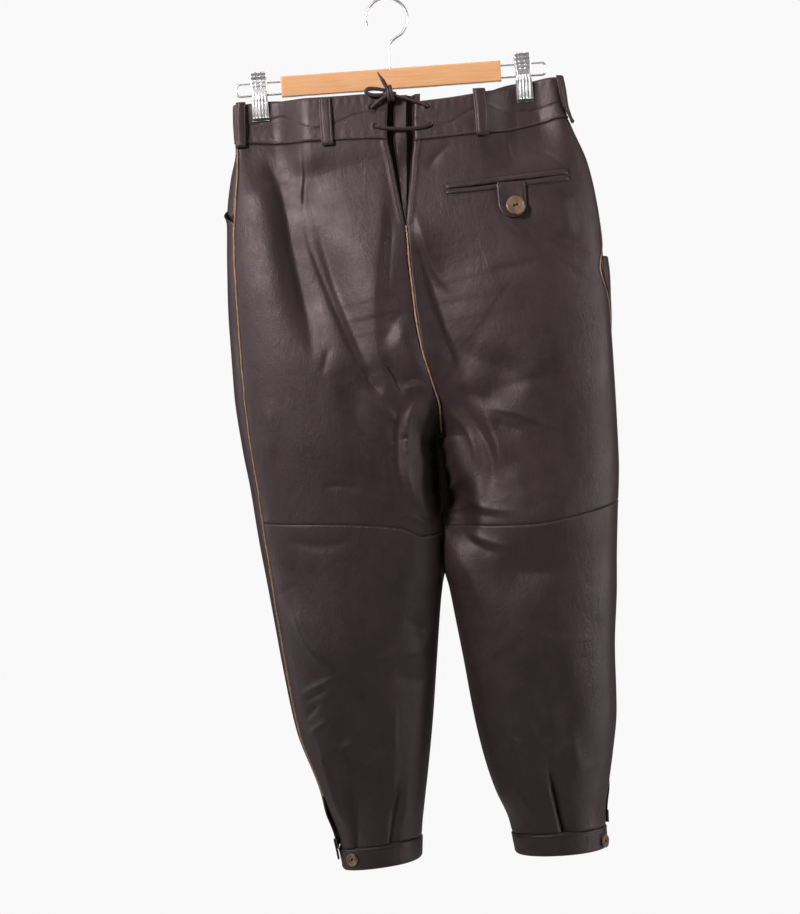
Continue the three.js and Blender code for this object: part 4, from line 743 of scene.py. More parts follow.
def wood_material():
    m = Shader("lacquered_beech", Specular_IOR_Level=0.5, Coat_Weight=0.2, Coat_Roughness=0.2)
    grain = m.noise(60, 6, 0.6, m.scaled((0.35, 2.4, 9.0)), 0.8)
    flecks = m.noise(120, 3, 0.6, m.scaled((0.8, 6.0, 14.0)))
    colour = m.ramp(grain, [(0.25, (0.72, 0.36, 0.16)), (0.5, (0.79, 0.41, 0.19)),
                            (0.75, (0.85, 0.46, 0.225))])
    m.set("Base Color", m.blend(m.span(flecks, 0.0, 0.4, (0.55, 0.75)), colour, (0.47, 0.20, 0.075)))
    m.set("Roughness", m.span(m.noise(40), 0.33, 0.5))
    m.bump((flecks, 0.0002, 0.3), (grain, 0.0003, 0.2))
    return m.material


DARK, LIGHT, WARM = (0.026, 0.0145, 0.0160), (0.042, 0.025, 0.028), (0.047, 0.026, 0.0255)
leather = leather_material("nappa_leather", DARK, LIGHT, WARM)
strap_leather = leather_material("band_leather", (0.032, 0.019, 0.021), (0.050, 0.031, 0.034),
                                 (0.054, 0.032, 0.032), (0.42, 0.54))
flesh = plain_material(
    "leather_flesh_side", (260, 5, 0.7), (0.030, 0.022, 0.022), (0.070, 0.052, 0.050), None,
    (900, 4, 0.7), 0.0006, 0.7, Roughness=0.95, Specular_IOR_Level=0.2)
tan = plain_material(
    "tan_edge_leather", (160, 4, 0.6), (0.26, 0.145, 0.078), (0.43, 0.275, 0.165),
    ((220,), (0.5, 0.75)), (700, 3), 0.0003, 0.5, Specular_IOR_Level=0.35)
thread = thread_material("dark_thread", (0.018, 0.012, 0.014))
pale_thread = thread_material("brown_thread", (0.17, 0.115, 0.11))
horn = horn_material()
wood = wood_material()
chrome = plain_material(
    "chromed_steel", (70, 3), (0.90, 0.90, 0.91), (0.97, 0.97, 0.98), ((180, 4), (0.32, 0.42)),
    (1400, 2), 0.00004, 0.4, (0.2, 0.8), Metallic=1.0, Specular_IOR_Level=0.5)
rubber = plain_material(
    "black_rubber", (300,), (0.012, 0.014, 0.016), (0.035, 0.040, 0.045), ((400,), (0.55, 0.75)),
    (900,), 0.0002, 0.5, Specular_IOR_Level=0.35)

# ---------------------------------------------------------------- meshes
PLACE = np.array([0, 0, WAIST_Z], float)


def build(name, verts, faces, materials, slot, inner_from=None, sharp=38, hung=True):
    """A mesh piece from millimetre points and quads or triangles."""
    verts = (np.asarray(verts, float) + (PLACE if hung else 0)) / 1000
    mesh = bpy.data.meshes.new(name)
    mesh.from_pydata(verts.tolist(), [], [list(map(int, f)) for f in faces])
    for material in materials:
        mesh.materials.append(material)
    mesh.shade_smooth()
    if inner_from is not None:
        index = np.zeros(len(faces), np.int32)
        index[inner_from[0] : inner_from[1]] = 1
        mesh.polygons.foreach_set("material_index", index)
    mesh.update()
    mesh.set_sharp_from_angle(angle=math.radians(sharp))
    made = bpy.data.objects.new(name, mesh)
    scene.collection.objects.link(made)
    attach(made, "root")
    return made


def ring_faces(first, rings, sides):
    """Quads between rings of points that follow each other, from vertex number first on."""
    faces = []
    for ring in range(first, first + (rings - 1) * sides, sides):
        for k in range(sides):
            k2 = (k + 1) % sides
            faces.append((ring + k, ring + k2, ring + sides + k2, ring + sides + k))
    return faces


def capped_rings(first, rings, sides):
    """The same, closed at both ends."""
    last = first + (rings - 1) * sides
    caps = [tuple(range(first, first + sides))[::-1], tuple(range(last, last + sides))]
    return ring_faces(first, rings, sides) + caps


def shell_faces(rows, cols):
    """Quads of an outer grid, of the inner grid behind it and of the rim between them."""
    idx = np.arange(rows * cols).reshape(rows, cols)
    a, b, c, d = (part.ravel() for part in (idx[:-1, :-1], idx[:-1, 1:], idx[1:, 1:], idx[1:, :-1]))
    n = rows * cols
    top = np.stack([a, b, c, d], 1)
    under = np.stack([a, d, c, b], 1) + n
    rim = np.concatenate([idx[0], idx[1:, -1], idx[-1, -2::-1], idx[-2:0:-1, 0]])
    after = np.roll(rim, -1)
    side = np.stack([after, rim, rim + n, after + n], 1)
    return top, under, side


def shell(name, outer, inner, material=None, inside=None, slot="leather", sharp=38):
    """A closed wall between two grids; its inner side is flesh side unless inside says otherwise."""
    rows, cols = outer.shape[:2]
    top, under, side = shell_faces(rows, cols)
    verts = np.concatenate([outer.reshape(-1, 3), inner.reshape(-1, 3)])
    faces = np.concatenate([top, under, side])
    p = verts[faces]
    volume = sum((p[:, 0] * np.cross(p[:, k], p[:, k + 1])).sum() for k in (1, 2))
    if volume < 0:
        faces = faces[:, ::-1]
    materials = [material or leather, inside or flesh]
    return build(name, verts, faces, materials, slot, (len(top), len(top) + len(under)), sharp)


RIMS = np.array([0, 0.35, 0.9, 1.7, 2.7, 4.2])


def spread(a, b, count, rims=RIMS):
    """Places from a to b with more of them near both ends; a and b may be arrays of one shape."""
    a, b = np.broadcast_arrays(np.asarray(a, float), np.asarray(b, float))
    way = np.sign(b - a)[..., None]
    r = rims[None] if a.ndim else rims
    left = a[..., None] + way * r
    right = b[..., None] - way * (r[..., ::-1])
    t = np.linspace(0, 1, count + 2)[1:-1]
    inside = mix(left[..., -1:], right[..., :1], t)
    return np.concatenate([left, inside, right], -1)


def rolled(d, drop=0.85, wide=2.2):
    """How far the face sinks near a rim at distance d."""
    return -drop * (1 - np.clip(d / wide, 0, 1)) ** 2


def laid(leg, z, s, lift=0.0, thick=LEATHER, edge=None, **more):
    """Outer and inner grids over arrays of z and s; edge is each point's distance from the rim."""
    roll = 0.0 if edge is None else rolled(edge)
    outer = skin(leg, z, s, lift + roll, **more)
    inner = skin(leg, z, s, lift - thick - 0.45 * roll, **more)
    return outer, inner


def rim_distance(s, z):
    """Rough distance of each grid point from the grid's four edges."""
    du = np.minimum(np.abs(s - s[:, :1]), np.abs(s[:, -1:] - s))
    dv = np.minimum(np.abs(z - z[:1]), np.abs(z[-1:] - z))
    return np.minimum(du, dv)


def snap_columns(leg, z, s, line_x, z_low, z_high, lap=0):
    """Slides the nearest grid column onto a line x(z) between two levels, its neighbours with it."""
    mid = int(np.argmin(np.abs(z[:, z.shape[1] // 2] - (z_low + z_high) / 2)))
    target_mid = leg.length_at(z[mid, 0], line_x(z[mid, 0]))
    k = int(np.argmin(np.abs(s[mid] - target_mid)))
    target = leg.length_at(z[:, k], line_x(z[:, k]))
    rows = step(z_low - 45, z_low - 6, z[:, k]) * (1 - step(z_high + 6, z_high + 45, z[:, k]))
    shift = (target - s[:, k]) * rows
    reach = bell((np.arange(s.shape[1]) - k) / 4.5)
    s = s + shift[:, None] * reach[None]
    if lap:
        # The column on the tuck's low side comes close, so the lap falls steeply.
        tight = rows * (1 - step(z_high - 4, z_high + 20, z[:, k]))
        side = k - 1 if lap > 0 else k + 1
        goal = s[:, k] + (0.7 if side > k else -0.7)
        s[:, side] = mix(s[:, side], goal, tight)
    return s


# ---------------------------------------------------------------- stitches
def surface_rows(points, normals, pitch):
    """Each stitch's middle, direction and outward normal."""
    run = lengths_along(points)
    at = (np.arange(int(run[-1] / pitch)) + 0.5) * pitch
    ahead = sampled(at + 0.5, run, points) - sampled(at - 0.5, run, points)
    return sampled(at, run, points), unit(ahead), unit(sampled(at, run, normals))


STITCH_SIDES = 5
# One stitch's stations along it, its girth there, and how far it stands off the leather.
STITCH_STATIONS, STITCH_GIRTH = np.array([-0.5, -0.32, 0, 0.32, 0.5]), np.array([0.35, 0.85, 1.0, 0.85, 0.35])
STITCH_HUMP = np.array([-0.9, -0.1, 0.35, -0.1, -0.9])


def stitches(name, rows, material=None, pitch=3.1, long=2.3, radius=0.32):
    """A run of sewn stitches as small humped grains; rows are (points, normals) along the sewing."""
    verts, faces = [], []
    turn = np.arange(STITCH_SIDES) / STITCH_SIDES * 2 * math.pi
    for points, normals in rows:
        mid, t, n = surface_rows(points, normals, pitch)
        b = np.cross(t, n)
        for m, tt, nn, bb in zip(mid, t, n, b):
            faces += capped_rings(len(verts), len(STITCH_STATIONS), STITCH_SIDES)
            for station, girth, hump in zip(STITCH_STATIONS, STITCH_GIRTH, STITCH_HUMP):
                c = m + tt * station * long + nn * hump * radius
                for a in turn:
                    verts.append(c + (nn * math.cos(a) + bb * math.sin(a)) * radius * girth)
    return build(name, np.array(verts), faces, [material or thread], None, sharp=80)


def sewn_along(leg, z, s, lift=0.0, **more):
    """Points and outward normals along a line of z and s on a leg."""
    z, s = np.broadcast_arrays(np.asarray(z, float), np.asarray(s, float))
    p = skin(leg, z, s, lift, **more)
    q = skin(leg, z, s, lift + 1.0, **more)
    return p, unit(q - p)


def sewn_on_back(x, z, lift, **more):
    """Points and outward normals at places of x and z on the back."""
    p = on_back(x, z, lift, **more)
    q = on_back(x, z, lift + 1.0, **more)
    return p, unit(q - p)


def back_line(line, lift, count=40, **more):
    p = smooth_line(line, count)
    return sewn_on_back(p[:, 0], p[:, 1], lift, **more)


# ---------------------------------------------------------------- leg panels
def opening_edge(z):
    """The length at which the back begins: the laced opening's edge, or the seam below it."""
    return np.where(np.asarray(z) > CROTCH, opening_half(z) - PIPED_HALF, SEAM_GAP / 2)


def z_rows(top, foot, pitch):
    """Levels from top to foot with more of them at both ends and round the crotch."""
    base = list(spread(top, foot, max(4, int(abs(top - foot) / pitch)), RIMS))
    if top > CROTCH > foot:
        base += [CROTCH + d for d in (14, 11, 8.5, 6, 4, 2.5, 1.2, 0.4, -0.2, -1.5, -4)]
    base = sorted(set(np.round(base, 3)), reverse=True)
    kept = [base[0]]
    for z in base[1:]:
        if kept[-1] - z > 0.3:
            kept.append(z)
    kept[-1] = foot
    return np.array(kept)


VENT_STANDS, VENT_WIDE, VENT_FULL = 4.5, 12, -826


def vent_stands(leg, z, s):
    """How far the front stands out beside the vent above the knee band."""
    return VENT_STANDS * step(VENT_TOP + 10, VENT_FULL, z) * bell((s - leg.seam_at(z)) / VENT_WIDE)


def tuck_lines(leg, z, s):
    """Lays grid columns on the tucks' lines."""
    for name, x0, z0, x1, z1, lap in TUCKS:
        if name == leg.name:
            s = snap_columns(leg, z, s, lambda q: mix(x0, x1, (q - z0) / (z1 - z0)), z0, z1,
                             lap if leg is RIGHT else -lap)
    return s


def back_upper(leg):
    levels = z_rows(-60, -508, 2.2)
    v = (levels - levels[0]) / (levels[-1] - levels[0])
    cols = 92
    u = spread(0.0, 1.0, cols, RIMS / 205)
    top = leg.band_foot(u / 2) - EDGE_GAP
    foot = leg.knee(u) + SEAM_GAP / 2
    z = mix(top[None], foot[None], v[:, None])
    z[-1], z[0] = foot, top
    start, end = opening_edge(z[:, 0]), leg.seam_at(z[:, -1]) - PIPED_HALF
    s = spread(start, end, cols)
    dart = LEFT_DART if leg is LEFT else RIGHT_DART
    line = curve([p[1] for p in dart], [p[0] for p in dart])
    s = snap_columns(leg, z, s, line, dart[-1][1], dart[0][1])
    # The laced opening's hem is turned over once and sewn down, with a dent at the stitches.
    hem = s - opening_edge(z)
    raised = 0.75 * (1 - step(5.8, 7.0, hem)) * step(V_FOOT - 8, V_FOOT + 2, z)
    raised = raised - 0.35 * bell((hem - 2.4) / 0.6) * step(V_FOOT, V_FOOT + 10, z)
    return laid(leg, z, s, raised, edge=rim_distance(s, z))


def back_lower(leg):
    levels = z_rows(-505, -858, 2.2)
    v = (levels - levels[0]) / (levels[-1] - levels[0])
    cols = 84
    u = spread(0.0, 1.0, cols, RIMS / 185)
    top = leg.knee(u) - SEAM_GAP / 2
    foot = leg.cuff_top(u) + EDGE_GAP
    z = mix(top[None], foot[None], v[:, None])
    start, end = np.full(len(z), SEAM_GAP / 2), leg.seam_at(z[:, -1]) - PIPED_HALF
    s = spread(start, end, cols)
    s = tuck_lines(leg, z, s)
    return laid(leg, z, s, edge=rim_distance(s, z))


MOUTH_AT, MOUTH_TALL, MOUTH_WIDE = -123, 12, 24


def mouth_lift(leg, z, s):
    """The front pocket's mouth gapes a little."""
    off = (s - leg.seam_at(z) - mouth(z)) / MOUTH_WIDE
    return MOUTH_STANDS[leg.name] * bell((z - MOUTH_AT) / MOUTH_TALL) * bell(off)


def front_panel(leg):
    levels = z_rows(-58, -857, 3.4)
    round_mouth = np.arange(-104, -146, -1.6)
    levels = np.array(sorted(set(np.round(np.concatenate([levels, round_mouth]), 2)), reverse=True))
    cols = 64
    v = (levels - levels[0]) / (levels[-1] - levels[0])
    u = spread(0.0, 1.0, cols, RIMS / 240)
    rough_top = mix(-50, -66, u)
    foot = leg.cuff_top(1 - u) + EDGE_GAP
    z = mix(rough_top[None], foot[None], v[:, None])
    start = leg.seam_at(z[:, 0]) + mouth(z[:, 0])
    end = leg.total_at(z[:, -1]) - np.where(z[:, -1] > CROTCH, 0, SEAM_GAP / 2)
    s = spread(start, end, cols)
    top = leg.band_foot(leg.band_share(z[0], s[0])) - EDGE_GAP
    fade = np.clip(1 - (z[0][None] - z) / 30, 0, 1)
    z = z + (top - z[0])[None] * fade
    lift = mouth_lift(leg, z, s) + vent_stands(leg, z, s)
    return laid(leg, z, s, lift, edge=rim_distance(s, z))


HIP_BEHIND, HIP_SUNK, HIP_HIDDEN = LEATHER + 1.1, 0.8, 2.5
HIP_SHARES = 18


def hip(leg):
    """The piece behind the pocket's mouth: flush beside the seam, then sunk behind the front."""
    levels = np.linspace(-50, MOUTH_FOOT - 12, 46)
    m = mouth(levels)
    flush = np.maximum(PIPED_HALF + 0.5, m - 9)
    hidden = np.maximum(PIPED_HALF + 1, m - HIP_HIDDEN)
    near = mix(PIPED_HALF, flush[:, None], np.linspace(0, 1, HIP_SHARES)[None])
    rest = np.stack([hidden, np.maximum(hidden + 4, m + 4), np.maximum(hidden + 9, m + 12)], 1)
    s = np.concatenate([near, rest], 1)
    z = np.repeat(levels[:, None], s.shape[1], 1)
    s = s + leg.seam_at(z)
    top = leg.band_foot(leg.band_share(z[0], s[0])) - EDGE_GAP
    z = z + (top - z[0])[None] * np.clip(1 - (z[0][None] - z) / 25, 0, 1)
    # Where the mouth comes near the seam there is no room to be flush, so all of it is sunk.
    narrow = 1 - step(7, 18, m)[:, None]
    far = np.concatenate([np.zeros(HIP_SHARES), np.ones(3)])[None]
    lift = (-HIP_BEHIND - HIP_SUNK * narrow) * np.maximum(far, narrow)
    return laid(leg, z, s, lift, edge=rim_distance(s, z))


def stands_for(piece, *nodes):
    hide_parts(*nodes)
    return piece


PANELS = {"back_upper": back_upper, "back_lower": back_lower, "front": front_panel, "hip": hip}
for leg in legs:
    for panel, maker in PANELS.items():
        stands_for(shell(f"{panel}_panel_{leg.name}", *maker(leg)), f"{panel}_{leg.name}")

# ---------------------------------------------------------------- piping
BEAD = np.radians(np.linspace(-90, 90, 9))
BEAD_HALF, BEAD_SUNK, BEAD_RISE = 0.95, -0.45, 1.25
for leg in legs:
    z = np.linspace(leg.band_foot(0.5) - EDGE_GAP, VENT_TOP, 360)[:, None]
    wander = 0.22 * np.sin(z / 6.3) + 0.2 * np.sin(z / 15.7 + 1.3)
    s = leg.seam_at(z) + BEAD_HALF * np.sin(BEAD)[None] + wander
    z = np.repeat(z, len(BEAD), 1)
    outer = skin(leg, z, s, BEAD_SUNK + BEAD_RISE * np.cos(BEAD)[None])
    inner = skin(leg, z, s, -LEATHER)
    piece = shell(f"side_seam_piping_{leg.name}", outer, inner, tan, tan, "piping", 60)
    stands_for(piece, f"piping_side_{leg.name}")


def centre_line(z, front):
    """Points between the two legs at the centre seam."""
    ends = [skin(leg, z, leg.total_at(z) if front else np.zeros(len(z))) for leg in legs]
    p = (ends[0] + ends[1]) / 2
    p[:, 0] = form["seam"](z)
    return p


# The line goes down the back, turns at the crotch on a round bottom, and goes up the front.
TURN_HIGH = 16
turned = CROTCH + TURN_HIGH * (1 - np.linspace(0, 0.985, 24)) ** 2
down = np.concatenate([np.linspace(V_FOOT - 6, CROTCH + TURN_HIGH, 120), turned])
turned = CROTCH + TURN_HIGH * (1 - np.linspace(0.985, 0, 24)) ** 2
up = np.concatenate([turned, np.linspace(CROTCH + TURN_HIGH, FLY_FOOT - 1, 90)])
line = np.concatenate([centre_line(down, False), centre_line(up, True)])
for _ in range(2):
    line[1:-1] = (line[:-2] + 2 * line[1:-1] + line[2:]) / 4
ahead = unit(np.gradient(line, axis=0))
away = unit(np.stack([np.zeros(len(line)), ahead[:, 2], -ahead[:, 1]], 1))
sideways = BEAD_HALF * np.sin(BEAD)[None] + 0.2 * np.sin(np.arange(len(line)) / 5.1)[:, None]
outer = line[:, None] + away[:, None] * (BEAD_SUNK + 0.15 + BEAD_RISE * np.cos(BEAD))[None, :, None]
inner = line[:, None] - away[:, None] * LEATHER * np.ones(len(BEAD))[None, :, None]
for grid in (outer, inner):
    grid[..., 0] += sideways
stands_for(shell("centre_seam_piping", outer, inner, tan, tan, "piping", 60), "piping_centre")

# Seam allowances lie inside the joints and keep light from showing through them.
ALLOWANCE_HALF = 7
across = np.array([1, 0, 0]) * np.linspace(-ALLOWANCE_HALF, ALLOWANCE_HALF, 9)[None, :, None]
walls = [line[:, None] - away[:, None] * depth + across for depth in (LEATHER + 0.3, LEATHER + 1.1)]
shell("centre_seam_allowance", *walls, flesh, flesh, "lining")
lowest = line[np.argmin(line[:, 2])]

# ---------------------------------------------------------------- waistband
LAP_UNDER = 17
HOLES = [(-24.5, -21), (-21.5, -43.2), (38.7, -24.6), (40.5, -46.6)]
WAVES = {
    "left": [(-168.5, -31), (-163, -28), (-142, -23.8), (-131, -21.8), (-122, -24), (-109, -33), (-101, -37.5),
             (-85, -40.3), (-70, -37), (-57, -33.3), (-45, -28.6), (-28, -27.4), (-14, -27)],
    "right": [(24, -38), (34, -40), (50, -45.8), (65, -44.6), (88, -32.5), (108, -27), (124, -33),
              (147.5, -35.2), (169.6, -33.5), (189.7, -28)],
}
WAVES = {side: smooth_line(line, 60) for side, line in WAVES.items()}
TOP_PUCKER, TOP_PITCH, FOOT_PUCKER, FOOT_PITCH = 0.2, 8.3, 0.12, 10.7
HOLE_DEEP, HOLE_INNER, HOLE_OUTER = 2.1, 1.5, 3.1


def by_share(u, start, seam, end):
    """A length from start over the seam, at share 0.5, to the end."""
    return np.where(u < 0.5, mix(start, seam, u / 0.5), mix(seam, end, (u - 0.5) / 0.5))


def band_length(leg, z, u):
    """The length at share u of the waistband, from the laced opening to its end at the fly."""
    end = leg.total_at(z) + (LAP_UNDER if leg is LEFT else -SEAM_GAP)
    return by_share(u, opening_half(z) - PIPED_HALF, leg.seam_at(z), end)


def band_over(leg, z, s):
    """How far the left half stands out where it laps over the right one at the fly."""
    return (BAND_WALL + EDGE_GAP) * step(-16, -3, s - leg.total_at(z)) if leg is LEFT else 0.0


def band_lift(leg, z, s, u):
    """The waistband's relief: puckers under its top edge, the sewn wave, and its stitched edges."""
    base = leg.around(z, s)
    x, back = base[..., 0], base[..., 3] < 0
    above, below = leg.band_top(u) - z, z - leg.band_foot(u)
    off, _, past = along(WAVES[leg.name], x, z)
    wave = (-0.75 * np.exp(-np.abs(off) / 0.8) + 0.32 * step(0.2, 1.6, off)) * bell(past / 3)
    lift = BAND_RISE + band_over(leg, z, s) + np.where(back, wave, 0)
    amount = 0.5 + 0.5 * np.sin(s / 31 + 1.1) * np.sin(s / 13.3)
    pucker = np.sin(2 * math.pi * s / TOP_PITCH + 1.7 * np.sin(s / 19)) * (0.35 + 0.65 * amount)
    lift = lift + TOP_PUCKER * pucker * bell((above - 6.5) / 5.5)
    pucker = np.sin(2 * math.pi * s / FOOT_PITCH + 2.1 * np.sin(s / 27) + 1) * (1 - amount * 0.5)
    lift = lift + FOOT_PUCKER * pucker * bell((below - 6) / 4.5)
    # A turned edge at the foot, and the dents of the stitches at foot and top.
    lift = lift + 0.5 * bell((below - 0.9) / 1.2) - 0.5 * bell((below - 3) / 0.9)
    lift = lift - 0.25 * bell((above - 2.2) / 0.9)
    for hx, hz in HOLES:
        d = np.hypot(x - hx, z - hz)
        hole = HOLE_DEEP * (1 - step(HOLE_INNER, HOLE_OUTER, d)) - 0.3 * bell((d - 4) / 1.1)
        lift = lift - np.where(back, hole, 0)
    return lift


def waistband(leg):
    v = spread(0.0, 1.0, 26, RIMS / 52)
    u = spread(0.0, 1.0, 270, RIMS / 415)
    z = mix(leg.band_top(u)[None], leg.band_foot(u)[None], v[:, None])
    s = band_length(leg, z, u[None])
    lift = band_lift(leg, z, s, u[None] + 0 * z)
    roll = rolled(rim_distance(s, z), 1.25, 2.4)
    over = band_over(leg, z, s) * 0.8
    sunk = BAND_RISE - BAND_WALL - 0.4 * roll + (lift - over - BAND_RISE) * 0.2 + over
    return skin(leg, z, s, lift + roll, sewn=False), skin(leg, z, s, sunk, sewn=False)


for leg in legs:
    stands_for(shell(f"waistband_half_{leg.name}", *waistband(leg), strap_leather), f"waistband_{leg.name}")


def turned_seam(leg, name, level, lengths, count, up, down):
    """The seam allowance inside a joint that runs round the leg at level(share)."""
    v, u = np.linspace(0, 1, 6)[:, None], np.linspace(0, 1, count)[None]
    z = level(u) + mix(up, -down, v)
    s = lengths(z, u)
    # The leather's folds end at the band, so they carry on only on the leather's side of the joint.
    loose = step(-1.5, 2.5, (z - level(u)) * (1 if up > down else -1))
    walls = [skin(leg, z, s, -LEATHER - depth, folds=loose, sewn=False) for depth in (0.4, 1.1)]
    return shell(name, *walls, flesh, flesh, "leather")


for leg in legs:
    turned_seam(leg, f"waist_seam_allowance_{leg.name}", leg.band_foot,
                lambda z, u: by_share(u, opening_edge(z) + 2, leg.seam_at(z), leg.total_at(z) - 1), 110, 4, 7)

# ---------------------------------------------------------------- gusset behind the laced opening
GUSSET_TOP, GUSSET_FOOT, GUSSET_MARGIN, GUSSET_PLEAT = -9, V_FOOT - 14, 7, 5.5
v, q = np.linspace(0, 1, 70)[:, None], np.linspace(-1, 1, 64)[None]
z = mix(GUSSET_TOP, GUSSET_FOOT, v) + 0 * q
half = opening_half(z) + GUSSET_MARGIN
room = (opening_half(z) - PIPED_HALF) / 12  # the pleat flattens toward the opening's foot
inside = np.maximum(0, 1 - np.abs(q) * (half / (opening_half(z) + 1)))
lift = -(LEATHER + 0.8) - 1.6 * GUSSET_PLEAT * room * np.sin(math.pi * np.clip(inside / 0.62, 0, 1)) ** 0.8
lift = lift + 0.6 * room * np.sin(z / 13 + 4 * q)
s = q * half - PIPED_HALF
outer = skin(LEFT, z, s, lift, sewn=False)
inner = skin(LEFT, z, s, lift - 1.2, sewn=False)
stands_for(shell("back_gusset", outer, inner), "gusset")

# ---------------------------------------------------------------- belt loops
LOOP_WIDE, LOOP_THICK, LOOP_STANDS = 13.4, 1.8, 2.8
LOOPS = [
    ("side_left", LEFT, 0.485, None, -1, -53), ("back_left", LEFT, None, -77, -6, -61),
    ("front_left", LEFT, 0.76, None, -5, -62), ("side_right", RIGHT, 0.475, None, 3, -52),
    ("back_right", RIGHT, None, 98, -8, -62.5), ("front_right", RIGHT, 0.76, None, -5, -62),
]
loop_rows = []
for name, leg, share, x, top, foot in LOOPS:
    v = spread(0.0, 1.0, 34, np.array([0, 0.5, 1.2, 2.4]) / 56)
    across = spread(-0.5, 0.5, 12, np.array([0, 0.3, 0.8, 1.5]) / LOOP_WIDE)
    z = np.repeat(mix(top, foot, v)[:, None], len(across), 1)
    if x is None:
        middle = by_share(share, opening_half(z) - PIPED_HALF, leg.seam_at(z), leg.total_at(z))
    else:
        middle = leg.length_at(z, x)
    lean = 0.5 * np.sin(3 * v[:, None])
    spare = 0.76 if name.startswith("side") else 1  # at the sides the waist bends sharply under the loop
    s = middle + spare * (across[None] * (LOOP_WIDE + 0.5 * np.sin(5 * v[:, None])) + lean)
    bowed_out = LOOP_STANDS * np.sin(math.pi * np.clip(v, 0, 1)) ** 0.6
    extra = 0.5 if name.startswith("side") else 0
    d = np.minimum(0.5 - np.abs(across[None]), 1) * LOOP_WIDE + 0 * z
    crown = 0.35 * np.cos(math.pi * across)[None] - 0.45 * bell((d - 2.2) / 0.7)
    base = BAND_RISE + EDGE_GAP + extra + LOOP_THICK + bowed_out[:, None]
    # The foot is folded under, so its end is a thick round edge.
    fold = 1.3 * bell((v[:, None] - 0.955) / 0.03) + 0.5 * bell((v[:, None] - 0.03) / 0.02)
    outer = skin(leg, z, s, base + crown + fold + rolled(d, 0.7, 1.6), sewn=False, folds=0)
    inner = skin(leg, z, s, base - LOOP_THICK - 0.1 * fold, sewn=False, folds=0)
    stands_for(shell(f"loop_{name}", outer, inner, strap_leather), f"belt_loop_{name}")
    for side in (1, -1):
        k = np.argmin(np.abs(across - side * 0.34))
        inside = slice(3, -3), k
        loop_rows.append(sewn_along(leg, z[inside], s[inside], (base + crown)[inside] + 0.05, sewn=False, folds=0))

# ---------------------------------------------------------------- fly
FLY_TOP, FLY_REACH, FLY_OVER, FLY_RISE = -67.5, 36, 6, SEAM_GAP + 0.7 + LEATHER


def fly_reach(v):
    """How far the flap reaches to its side at share v of its height, with a round foot."""
    return FLY_REACH * np.sqrt(np.maximum(0.02, 1 - v**4))


v = spread(0.0, 1.0, 60, RIMS / 137)
u = spread(0.0, 1.0, 18, RIMS / 42)
z = np.repeat(mix(FLY_TOP, FLY_FOOT, v)[:, None], len(u), 1)
s = LEFT.total_at(z) + mix(-fly_reach(v)[:, None], FLY_OVER, u[None])
lift = FLY_RISE - 0.3 * bell((s - s[:, :1] - 3) / 0.8)
stands_for(shell("fly_flap", *laid(LEFT, z, s, lift, edge=rim_distance(s, z), sewn=False)), "fly")

# ---------------------------------------------------------------- back pocket
WELT, WELT_RISE = 1.5, 0.85


def welt(upper, lower, lowered):
    """A puffed lip between two lines, the upper of them lowered by so much."""
    a, b = smooth_line(upper, 120), smooth_line(lower, 120)
    v = np.linspace(0, 1, 11)[:, None]
    x = mix(a[None, :, 0], b[None, :, 0], v)
    z = mix(a[None, :, 1], b[None, :, 1], v) - lowered * (1 - v)
    ends = np.minimum(np.arange(len(a)), np.arange(len(a))[::-1])[None]
    puff = 1.6 * np.sin(math.pi * np.clip(v, 0.02, 0.98)) ** 0.55 * (0.55 + 0.45 * step(0, 4, ends))
    puff = puff + 0.12 * np.sin(x / 3.1 + 2 * np.sin(x / 17)) * np.sin(math.pi * v)
    return on_back(x, z, WELT_RISE - 0.6 + puff, sewn=False), on_back(x, z, WELT_RISE - 0.8, sewn=False)


stands_for(shell("pocket_lip_upper", *welt(POCKET_UPPER, POCKET_SLIT, 0), sharp=60), "pocket_welt_upper")
stands_for(shell("pocket_lip_lower", *welt(POCKET_SLIT, POCKET_LOWER, 1.6), sharp=60), "pocket_welt_lower")

TAB_X, TAB_HALF, TAB_TOP, TAB_FOOT, TAB_THICK = 126, 15.8, -118.8, -159.5, 1.6
TAB_RISE = WELT_RISE + WELT + 0.5


def tab_half(z):
    """The tab's half width, round at its foot."""
    past = np.clip((TAB_FOOT + TAB_HALF - z) / TAB_HALF, 0, 1)
    return TAB_HALF * np.sqrt(np.maximum(0.004, 1 - past**2))


z1 = np.concatenate([np.linspace(TAB_TOP, TAB_FOOT + TAB_HALF, 26)[:-1],
                     TAB_FOOT + TAB_HALF * (1 - np.sin(np.linspace(0, math.pi / 2, 26)))])
u = np.linspace(-1, 1, 41)[None]
z = np.repeat(z1[:, None], 41, 1)
x = TAB_X + tab_half(z) * u
low = np.minimum(0, z - (TAB_FOOT + TAB_HALF))
d = TAB_HALF - np.where(low < 0, np.hypot(x - TAB_X, low), np.abs(x - TAB_X))
d = np.minimum(d, TAB_TOP - z + 0.8)
over_welt = 0.5 * bell((z + 122) / 4)
lift = TAB_RISE + TAB_THICK + over_welt - 0.32 * bell((d - 2.6) / 0.7) + rolled(d, 0.75, 1.9)
walls = [on_back(x, z, high, sewn=False) for high in (lift, TAB_RISE + over_welt)]
stands_for(shell("pocket_tab_strap", *walls), "pocket_tab")

# ---------------------------------------------------------------- buttons
BUTTON_STEPS = 56
# A button's profile from the underside over the rim into the dish, then down its slot: shares of
# the radius, or of the slot's size, and of the thickness.
BUTTON_RINGS = [(0.80, 0), (0.93, 0.14), (1, 0.45), (0.985, 0.78), (0.92, 0.97), (0.86, 1),
                (0.79, 0.95), (0.72, 0.80), (0.55, 0.73), (0.38, 0.71)]
BUTTON_SLOT = [(1.3, 0.71), (1.0, 0.6), (0.95, 0.06)]
SLOT_LONG, SLOT_WIDE = 0.2, 0.11


